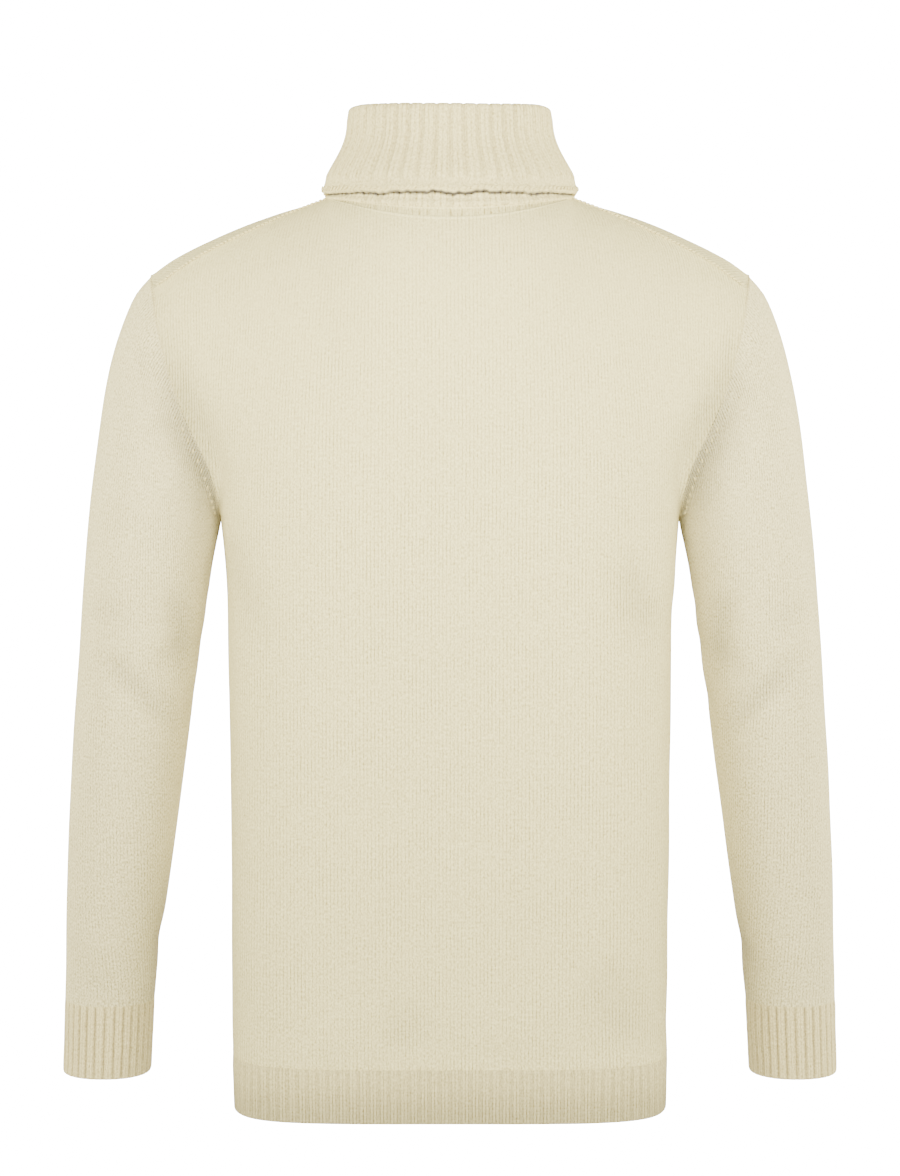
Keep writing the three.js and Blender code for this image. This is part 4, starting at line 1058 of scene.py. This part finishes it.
def collar_foot(turn, lift):
    """Points of the collar's lowest row, along the neck seam, at heights off the hidden face."""
    inward = np.stack([np.sin(turn), np.cos(turn), np.zeros_like(turn)], -1)
    return neck_seam(turn) - inward * np.asarray(lift)[..., None]


def collar_end(stations):
    """Turn of the collar's front edge at stations: where its half gap lies on its radius."""
    return math.pi - np.arcsin(stations[:, 5:6] / stations[:, 0:1])


LEAF_WAVES = [(0.6, 9, 1.1), (0.5, 17, 0.4), (0.35, 31, 2.3), (0.25, 53, 0.2)]  # height, count, start


def leaf_wander(share):
    """How far the leaf's lower edge rises and falls at shares of its length."""
    return sum(height * np.sin(share * count * 2 * math.pi + start)
               for height, count, start in LEAF_WAVES)


def leaf_relief(share, turn, below, near_fold):
    """Heights of the collar's face off its hidden side, at distances above the leaf's lower edge.

    The ribs are lower near the fold and on the roll. A crease runs above the roll, deepest
    behind and in front, and each wale of the roll stands up a little. The rib's own height, the
    part above the roll and the distance to the nearest front edge are given as well.
    """
    from_end = np.minimum(share, 1 - share) * 2 * math.pi * NECK_RADIUS
    rib = rib_height(share * COLLAR_RIBS, valley=0.36, dip=0.14) * RIB_HEIGHT * COLLAR_RIB_SCALE
    rib = rib * ramp(from_end, PLAIN_EDGE - 3, PLAIN_EDGE)
    band = ramp(below, 7.5, 12.5)
    crease, swell, stand_up = (size * bell(below - at, width)[:, None]
                               for size, at, width in (ROLL_CREASE, ROLL_SWELL, ROLL_WALES))
    wales = np.cos(share * COLLAR_RIBS * 2 * math.pi * WALES_A_RIB)
    lift = RIB_WALL + rib * (mix(0.22, 1, band) * mix(0.5, 1, near_fold))[:, None]
    return lift - (crease - swell) * np.cos(turn) ** 2 + stand_up * wales, rib, band, from_end


def collar():
    """The whole collar as one wall, its face ribbed and its hidden side plain.

    Its lowest row stands on the neck seam, and the rows above it swell out to meet the leaf.
    """
    stations, leaf = collar_stations()
    share = np.linspace(0, 1, COLLAR_RIBS * COLLAR_COLUMNS + 1)
    turn = collar_end(stations) * (1 - 2 * share)
    foot_turn = NECK_END_TURN * (1 - 2 * share)
    below = np.full(len(stations), FAR)
    below[-leaf:] = stations[-leaf:, 1] - stations[-1, 1]
    near_fold = ramp(stations[:, 1], FOLD_TOP, FOLD_TOP - 7)
    lift, rib, band, from_end = leaf_relief(share, turn, below, near_fold)
    at_side = np.clip(np.abs(np.sin(turn)) - SIDE_FROM, 0, 1) / (1 - SIDE_FROM)
    round_side = ROUND_SIDE * at_side**2 * ramp(stations[:, 1:2], 45, 67)
    size, width = SCALLOP
    scallop = size * bell(below, width)[:, None] * np.cos(share * COLLAR_RIBS * 4 * math.pi)
    scallop = scallop + bell(below, WANDER_REACH)[:, None] * leaf_wander(share) * np.cos(turn) ** 2
    radial = np.stack([np.sin(foot_turn), np.cos(foot_turn), 0 * foot_turn], -1)
    climb = np.linspace(0, 1, TUBE_ROWS + 2)[1:-1, None, None]
    tube = TUBE_SWELL * np.sin(math.pi * np.clip(climb / TUBE_TOP, 0, 1)) * radial

    def layer(lift, foot_lift):
        grid = collar_points(stations, turn, lift)
        grid[..., 2] += scallop - round_side
        foot = collar_foot(foot_turn, foot_lift) - [0, 0, FOOT_SUNK]
        return np.concatenate([foot[None], mix(foot, grid[0], climb) + tube, grid])

    outer = layer(lift, RIB_WALL + rib)
    inner = layer(np.zeros_like(lift), 0.8 + 0 * rib)
    through_wall = unit(outer - inner)
    edge = np.minimum(from_end, np.append(np.full(TUBE_ROWS + 1, FAR), below)[:, None])
    back = rounding(edge, RIB_WALL / 2)[..., None] * through_wall
    fall = lengths((outer + inner) / 2, 0)
    slack = 0.5 * unevenness(outer * 1.5) * ease(np.minimum(edge, fall) / 15)
    soft = slack[..., None] * through_wall
    u = (share * COLLAR_RIBS * WALES_A_RIB - 0.5) * WALE
    uv = np.stack(np.broadcast_arrays(u[None, :], fall[-1].mean() - fall), -1)

    # Painted shadow under the leaf's lower edge: the neckband just below it and the leaf's last rows
    # are painted nearly black; a faint painted shade follows the crease above the roll
    close = np.zeros(outer.shape[:2])
    hidden = slice(1, TUBE_ROWS + 3)
    close[hidden] = ramp(outer[-1, :, 2] - outer[hidden, :, 2], 2.8, 1.6)
    close[-3:] = np.array([[0.5], [1], [1]]) * np.cos(turn[-3:]) ** 2
    above_roll = below[-leaf:, None] - 8.8 - 2 * leaf_wander(share)
    close[-leaf:] += 0.13 * bell(above_roll, 1.5) * np.cos(turn[-leaf:]) ** 2
    rolled = (1 - np.append(np.ones(TUBE_ROWS + 1), band))[:, None]
    made = wall("rib_collar", outer - back + soft, inner + back + soft, uv,
                close=close, rolled=rolled)
    dress(made, "collar", collar_wool)


collar()

# ---- Linking and marks ----
# Loops of the same yarn where the pieces are linked: round the neck, down the armholes, over
# the shoulders and on the bound-off edge, and the slanted marks where stitches were narrowed.


def yarn_wool(name, light, shade, relief):
    """Loose yarn of the same wool, lighter on its lumps than between them, with no stitches."""
    shader = Shader(name)
    body = shader.object_place()
    fine, coarse = shader.noise(body, 1800, 3, 0.6), shader.noise(body, 500)
    colour = shader.colour(shade, light, (fine * 0.6 + coarse * 0.6).clamp())
    return shader.finish_wool(colour, light, shader.bump(fine + coarse, relief))


linking_yarn = yarn_wool("linking_yarn", linear(236, 228, 202), linear(206, 194, 162), 0.3)
# A darker copy of the linking yarn: painted shade for the linking round the neck and down the armholes
# and for the narrowing marks, which lie in shade
shaded_seam_yarn = yarn_wool("shaded_seam_yarn", linear(224, 215, 190), linear(182, 170, 142), 0.3)


def ball(cells):
    """Points and quads of a unit ball: a cube's faces in cells, each point pushed out to length 1."""
    side = np.linspace(-1, 1, cells + 1)
    a, b = np.meshgrid(side, side, indexing="ij")
    faces = []
    for axis in range(3):
        for end in (-1, 1):
            face = np.full((cells + 1, cells + 1, 3), float(end))
            face[..., (axis + 1) % 3] = a * end
            face[..., (axis + 2) % 3] = b
            faces.append(face.reshape(-1, 3))
    points, which = np.unique(np.round(np.concatenate(faces), 6), axis=0, return_inverse=True)
    number = which.reshape(6, cells + 1, cells + 1)
    low, high = slice(None, -1), slice(1, None)
    corners = [number[:, a, b] for a, b in ((low, low), (high, low), (high, high), (low, high))]
    return unit(points), np.stack(corners, -1).reshape(-1, 4)


def beads(name, centres, along, normal, half_sizes, slant):
    """One mesh of stretched balls, one at each centre: half length, half width and half height.

    The length lies along the given direction, turned by the slant about the normal.
    """
    normal = unit(normal)
    along = unit(along - normal * (along * normal).sum(-1, keepdims=True))
    across = np.cross(normal, along)
    slant = np.asarray(slant)[..., None] if np.ndim(slant) else slant
    along = along * np.cos(slant) + across * np.sin(slant)
    across = np.cross(normal, along)
    points, quads = ball(2)
    axes = np.stack([along, across, normal], 1) * np.asarray(half_sizes, float)[..., None]
    placed = centres[:, None] + points @ axes
    faces = quads + (np.arange(len(centres)) * len(points))[:, None, None]
    return piece(name, placed.reshape(-1, 3), faces.reshape(-1, 4))


def evenly(points, pitch, *others):
    """Places about a pitch apart along a line of points, their directions, and other values there."""
    run = lengths(points[:, None], 0)[:, 0]
    count = max(2, round(run[-1] / pitch))
    at = (np.arange(count) + 0.5) * run[-1] / count

    def sample(values):
        return np.stack([np.interp(at, run, values[:, k]) for k in range(values.shape[1])], -1)

    along = unit(sample(np.gradient(points, axis=0)))
    return (sample(points), along, *(sample(other) for other in others))


def stitch_row(name, line, out, pitch, half_sizes, slant=0.0, vary=0.14,
               yarn=linking_yarn):
    """A row of stitches along a line, each a little different in size and lean from the next."""
    places, along, out = evenly(line, pitch, out)
    sizes = np.asarray(half_sizes) * (1 + rng.uniform(-vary, vary, (len(places), 3)))
    lean = slant + rng.uniform(-vary, vary, len(places))
    dress(beads(name, places, along, out, sizes, lean), None, yarn)


def both_sides(points):
    """The points as they are, for the wearer's left, and mirrored for the right."""
    return (("left", points), ("right", points * [-1, 1, 1]))


turn = np.linspace(-NECK_END_TURN, NECK_END_TURN, 400)
neck_out = np.stack([np.sin(turn), np.cos(turn), np.full(len(turn), 0.5)], -1)
stitch_row("neck_linking", neck_seam(turn) + [0, 0, -0.3], neck_out, 3, (1.0, 0.5, 0.5), 0.35,
           yarn=shaded_seam_yarn)

seam_turn = np.radians(np.linspace(168, -168, 500))
for row, inset in enumerate((0.7, -0.6)):
    points, out = armhole(seam_turn)
    inward = np.array([-(SLEEVE[0][2] - SLEEVE[0][4]), 0, SLEEVE[0][1] - SLEEVE[0][3]], float)
    line = points + inward / np.linalg.norm(inward) * inset - out * 0.25
    line[:, 2] -= shoulder_dip(0, line[:, 2])
    for side_name, placed in both_sides(line):
        flip = [1 if side_name == "left" else -1, 1, 1]
        stitch_row(f"armhole_linking_{row + 1}_{side_name}", placed, out * flip, 2.8,
                   (1.2, 0.45, 0.4), 0.5, yarn=shaded_seam_yarn)

out_share = np.linspace(0.02, 0.98, 120)
for side_name, placed in both_sides(shoulder_seam(out_share)):
    up = np.tile([0.15 if side_name == "left" else -0.15, 0.5, 1.0], (len(placed), 1))
    stitch_row(f"shoulder_linking_{side_name}", placed + [0, 1.6, -0.3], up, 3.4, (1.8, 1.1, 0.9), 0.3)

for side_name, side in PANELS:
    points, out = hem_place(side)(np.linspace(0.004, 0.996, 500), np.zeros(1))
    stitch_row(f"hem_linking_{side_name}", points[0] - out[0] * 0.3, out[0], 5.2,
               (1.9, 0.6, 0.5), 0.2, vary=0.3)
for side_name, mirror in SIDES:
    points, out = cuff_place(mirror)(np.linspace(0, 1, 300), np.zeros(1))
    stitch_row(f"cuff_linking_{side_name}", points[0] - out[0] * 0.35, out[0], 2.4,
               (0.8, 0.5, 0.5))

stations, _ = collar_stations()
bound = stations[-1:].copy()
bound[0, 1] = LEAF_BOTTOM + 3.6
share = np.linspace(0.004, 0.996, 600)
line = collar_points(bound, collar_end(bound) * (1 - 2 * share), RIB_WALL + 0.6)[0]
behind = collar_points(bound, collar_end(bound) * (1 - 2 * share), 0.0)[0]
line[:, 2] += leaf_wander(share) * np.cos(math.pi * (1 - 2 * share) * 0.9) ** 2
stitch_row("collar_bound_edge", line, line - behind, 4.6, (2.7, 1.2, 0.6), 0.6, vary=0.25)


def narrowing_marks(name, at_turns, away, sizes, slant):
    """Raised marks on both sleeves at turns of the armhole, a distance away from its seam."""
    grid, normals = swayed_sleeve(np.linspace(0, 4, 120), at_turns)
    down = lengths(grid, 0)
    row = np.array([np.searchsorted(down[:, k], away) for k in range(len(at_turns))])
    column = np.arange(len(at_turns))
    places, out = grid[row, column], normals[row, column]
    along = unit(grid[row + 1, column] - grid[row, column])
    for side_name, mirror in SIDES:
        flip = np.array([mirror, 1, 1])
        made = beads(f"{name}_{side_name}", places * flip, along * flip, out * flip, sizes,
                     slant * mirror)
        dress(made, None, shaded_seam_yarn)


for side_name, sign in (("behind", 1), ("before", -1)):
    turns = sign * np.radians(np.linspace(100, 152, 11))
    narrowing_marks(f"sleeve_marks_{side_name}", turns, 5.5, (1.9, 0.75, 0.5), sign * 0.6)

# ---- Zip tapes ----
# Two narrow woven tapes behind the slit's edges, that run on along the collar's front edges,
# with a bead along the inner edge that the teeth grip. They are sewn down beside the slit.

TAPE_THICKNESS = 0.8
TAPE_UNDER_CLOTH = 9
TAPE_SHOWING = 3.8
TAPE_TAIL = 8
TAPE_CLEARANCE = 0.45
TAPE_COLUMNS = 13
TAPE_STEP = 2.5


def woven_tape(name, light, shade):
    """Herringbone tape: fine slanted ribs that change direction along every third millimetre."""
    shader = Shader(name)
    uv = shader.cloth_place()
    across, along = (shader.part_of(uv, axis) / MM for axis in range(2))
    zigzag = ((across / 3).math("FRACT") - 0.5).math("ABSOLUTE") * 3
    rib = ((along + zigzag) * (2 * math.pi / 0.9)).math("COSINE") * 0.5 + 0.5
    yarns = (across * (2 * math.pi / 0.6)).math("COSINE") * 0.25
    fuzz = shader.noise(shader.object_place(), 2500, 2)
    height = rib * 0.7 + yarns + fuzz * 0.3
    colour = shader.colour(shade, light, (height * 0.8).clamp())
    return shader.finish(
        Base_Color=colour, Roughness=0.8, Sheen_Weight=0.1, Specular_IOR_Level=0.25,
        Normal=shader.bump(height, 0.15, 0.8))


tape_cloth = woven_tape("zip_tape_weave", linear(226, 218, 192), linear(184, 172, 140))


def tape_sections():
    """Sections of the left tape, its front face's shown and hidden edges, and the way out at each.

    They follow the front panel's slit edge from below the zip to the neck, then the neck seam
    and the collar's front edge, behind the cloth by its thickness and a clearance.
    """
    first = HALF_COLUMNS
    normals = normals_of(front_sections, (0, FRONT, 0))
    rows = []

    def panel_row(edge, beside, normal):
        across = beside - edge
        normal = unit(normal * [0, 1, 1])
        edge = edge - normal * (KNIT_WALL + TAPE_CLEARANCE)
        hidden = edge + across * TAPE_UNDER_CLOTH / across[0]
        rows.append((edge - [TAPE_SHOWING, 0, 0], hidden, normal))

    low, high = front_sections[BODY_ROWS - 1:BODY_ROWS + 1, first:first + 2]
    tail = TAPE_TAIL / (high[0, 2] - low[0, 2])
    panel_row(*mix(high, low, tail), normals[BODY_ROWS, first])
    for section, normal in zip(front_sections[BODY_ROWS:], normals[BODY_ROWS:]):
        panel_row(section[first], section[first + 1], normal[first])
    lift, widths = RIB_WALL + TAPE_CLEARANCE, np.array([TAPE_SHOWING, -TAPE_UNDER_CLOTH])
    turns = NECK_END_TURN + widths / NECK_RADIUS
    near, far = collar_foot(turns, lift)
    rows.append((near, far, near - collar_foot(turns, lift + 1)[0]))
    stations, _ = collar_stations()
    for station in stations[2:]:
        station = station[None]
        turns = collar_end(station)[0, 0] + widths / station[0, 0]
        near, far = collar_points(station, turns, lift)[0]
        rows.append((near, far, near - collar_points(station, turns, lift + 1)[0, 0]))
    shown, hidden, out = (np.array(part) for part in zip(*rows))
    return shown, hidden, unit(out)


shown_edge, hidden_edge, tape_out = tape_sections()
tape_key = lengths(shown_edge[:, None], 0)[:, 0]
places = np.arange(0, tape_key[-1], TAPE_STEP)
shown_line, hidden_line, out_line = (
    through(np.column_stack([tape_key, part]), places) for part in (shown_edge, hidden_edge, tape_out))
out_line = unit(out_line)


def zip_tape(mirror, side_name):
    """One tape: straight across between its two edges, with a round bead along the shown one."""
    across = np.linspace(0, 1, TAPE_COLUMNS) ** 1.5
    width = TAPE_SHOWING + TAPE_UNDER_CLOTH
    middle = mix(shown_line[:, None], hidden_line[:, None], across[:, None])
    middle = middle - out_line[:, None] * TAPE_THICKNESS / 2
    from_edge = across * width
    bead = 0.35 * bell(from_edge - 0.6, 0.55)
    half = TAPE_THICKNESS / 2 + bead - rounding(np.minimum(from_edge, width - from_edge), 0.35)
    outer = middle + out_line[:, None] * half[:, None]
    inner = middle - out_line[:, None] * half[:, None]
    flip = [mirror, 1, 1]
    uv = np.stack(np.broadcast_arrays(from_edge[None, :], places[:, None]), -1)
    made = wall(f"zip_tape_{side_name}_cloth", outer * flip, inner * flip, uv)
    dress(made, f"zip_tape_{side_name}", tape_cloth)


for side_name, mirror in SIDES:
    zip_tape(mirror, side_name)

# ---- Zip teeth, slider, pull tab and stops ----
# Brushed metal. Each tooth is clamped over a tape's bead, and its head reaches between its two
# neighbours opposite. The slider, the swinging pull tab and the stops keep the frame's forms.

TOOTH_PITCH = 2.4


def brushed_metal(name, tint, roughness):
    """Satin metal, drawn along Z: long fine scratches vary its roughness and its surface a little."""
    shader = Shader(name)
    body = shader.object_place()
    scratch = shader.noise(body, 3000, 2, 0.6, stretch=(1, 1, 0.06))
    wear = shader.noise(body, 400, 2)
    dark = (*(0.72 * part for part in tint[:3]), 1)
    colour = shader.colour(dark, tint, (scratch * 0.5 + wear * 0.6).clamp())
    return shader.finish(
        Base_Color=colour, Metallic=1.0, Roughness=scratch * 0.15 + wear * 0.1 + roughness,
        Normal=shader.bump(scratch, 0.02, 0.3))


metal = brushed_metal("zip_metal_satin", linear(146, 141, 130), 0.28)

TOOTH_SECTIONS = np.array([  # distance into the cloth, half height along the tape, half thickness
    (-1.75, 0.42, 0.5), (-1.2, 0.68, 0.85), (-0.5, 0.5, 0.95), (0.4, 0.62, 1.15), (1.9, 0.62, 1.15)])


def teeth(side_name, mirror, offset):
    """One side's teeth in one mesh: each a block with a rounded head, four cells long."""
    at = np.arange(TAPE_TAIL + 6 + offset, places[-1] - 6, TOOTH_PITCH)
    centre, far, out = (through(np.column_stack([places, line]), at)
                        for line in (shown_line, hidden_line, out_line))
    out, into = unit(out), unit(far - centre)
    centre = centre - out * TAPE_THICKNESS / 2
    corner = np.array([(1, -1, -1), (1, 1, -1), (1, 1, 1), (1, -1, 1)])
    ring = TOOTH_SECTIONS[:, None] * corner
    axes = np.stack([into, np.cross(out, into), out], 1)
    points = centre[:, None] + ring.reshape(-1, 3) @ axes
    last = len(TOOTH_SECTIONS) - 1
    sides = [[k * 4 + c, k * 4 + (c + 1) % 4, (k + 1) * 4 + (c + 1) % 4, (k + 1) * 4 + c]
             for k in range(last) for c in range(4)]
    quads = np.array(sides + [[3, 2, 1, 0], [last * 4 + c for c in range(4)]])
    if mirror > 0:
        quads = quads[:, ::-1]
    faces = quads + (np.arange(len(at)) * points.shape[1])[:, None, None]
    points = points.reshape(-1, 3) * [mirror, 1, 1]
    made = piece(f"zip_teeth_{side_name}", points, faces.reshape(-1, 4))
    dress(made, None, metal)


teeth("left", 1, 0)
teeth("right", -1, TOOTH_PITCH / 2)
for name in ("slider", "pull_tab", "bottom_stop", "top_stop_left", "top_stop_right"):
    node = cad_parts[f"zip_{name}"]
    node.data.materials.clear()
    node.data.materials.append(metal)
    weld = node.modifiers.new("weld", "WELD")
    weld.merge_threshold = 0.01 * MM
    bevel = node.modifiers.new("bevel", "BEVEL")
    bevel.width, bevel.segments, bevel.limit_method = 0.22 * MM, 2, "ANGLE"

SEWN_IN = 5
edge_row, beside = (front_sections[BODY_ROWS:, HALF_COLUMNS + k] for k in range(2))
sewn = edge_row + unit(beside - edge_row) * SEWN_IN
sewn_out = normals_of(front_sections, (0, FRONT, 0))[BODY_ROWS:, HALF_COLUMNS]
sewn_key = lengths(sewn[:, None], 0)[:, 0]
fine = np.linspace(0, sewn_key[-1] - 2, 200)
sewn, sewn_out = (through(np.column_stack([sewn_key, line]), fine) for line in (sewn, sewn_out))
for side_name, mirror in SIDES:
    flip = [mirror, 1, 1]
    stitch_row(f"zip_sewing_{side_name}", (sewn - sewn_out * 0.15) * flip, sewn_out * flip, 3.2,
               (1.1, 0.35, 0.35))

# ---- Studio ----
# A plain pale floor well below the hem, soft warm light from before and behind, and a camera at
# shoulder height behind the wearer.

FLOOR_DROP = 0.36
FLOOR_HALF = 0.75
CAMERA_DISTANCE = 2.515
CAMERA_RISE = math.radians(6)
AIM = (0, 0, -0.295)
LAMP_AIM = (0, 0, -0.2)
WARM = (1.0, 0.925, 0.52)
AMBIENT = 0.42
BACKDROP = 20


def look_at(made, place, aim):
    """Puts a light or the camera at a place, facing a point."""
    towards = mathutils.Vector(aim) - mathutils.Vector(place)
    made.location = place
    made.rotation_euler = towards.to_track_quat("-Z", "Y").to_euler()
    bpy.context.scene.collection.objects.link(made)
    return made


def softbox(name, place, size, watts):
    """A square lamp of warm light, turned to the middle of the chest."""
    light = bpy.data.lights.new(name, "AREA")
    light.shape, light.size, light.energy, light.color = "SQUARE", size, watts, WARM
    look_at(bpy.data.objects.new(name, light), place, LAMP_AIM)


SOFTBOXES = [  # name, place, size, watts
    ("left", (1.1, 0.65, 0.0), 0.6, 25),
    ("right", (-1.1, 0.65, 0.0), 0.6, 28),
    ("middle", (0, 0.85, 0.05), 0.45, 18),
]
for behind, sign in (("behind", 1), ("before", -1)):
    for name, place, size, watts in SOFTBOXES:
        softbox(f"softbox_{behind}_{name}", (place[0], place[1] * sign, place[2]), size, watts)

lens = bpy.data.cameras.new("camera")
lens.lens, lens.sensor_width = 100, 36
away, above = CAMERA_DISTANCE * math.cos(CAMERA_RISE), CAMERA_DISTANCE * math.sin(CAMERA_RISE)
camera = bpy.data.objects.new("camera", lens)
bpy.context.scene.camera = look_at(camera, (0, away, AIM[2] + above), AIM)

floor_paint = Shader("floor_paint")
grain = floor_paint.noise(floor_paint.object_place(), 3)
pale = floor_paint.colour((0.86, 0.86, 0.86, 1), (0.9, 0.9, 0.9, 1), grain)
floor_paint.finish(Base_Color=pale, Roughness=0.8)
turn = np.linspace(0, 2 * math.pi, 96, endpoint=False)
floor_z = np.full(len(turn), HEM_BOTTOM - FLOOR_DROP / MM)
ring = np.stack([np.cos(turn), np.sin(turn)], -1) * FLOOR_HALF / MM
floor = piece("floor", np.column_stack([ring, floor_z]), np.arange(len(ring))[None])
floor.data.materials.append(floor_paint.material)

world = bpy.data.worlds.new("studio")
bpy.context.scene.world = world
world.use_nodes = True
sky = world.node_tree
sky.nodes.clear()
seen = sky.nodes.new("ShaderNodeMixShader")
sky.links.new(sky.nodes.new("ShaderNodeLightPath").outputs["Is Camera Ray"], seen.inputs[0])
for socket, colour, strength in ((1, (*WARM, 1), AMBIENT), (2, (1, 1, 1, 1), BACKDROP)):
    light = sky.nodes.new("ShaderNodeBackground")
    light.inputs["Color"].default_value = colour
    light.inputs["Strength"].default_value = strength
    sky.links.new(light.outputs[0], seen.inputs[socket])
sky.links.new(seen.outputs[0], sky.nodes.new("ShaderNodeOutputWorld").inputs[0])
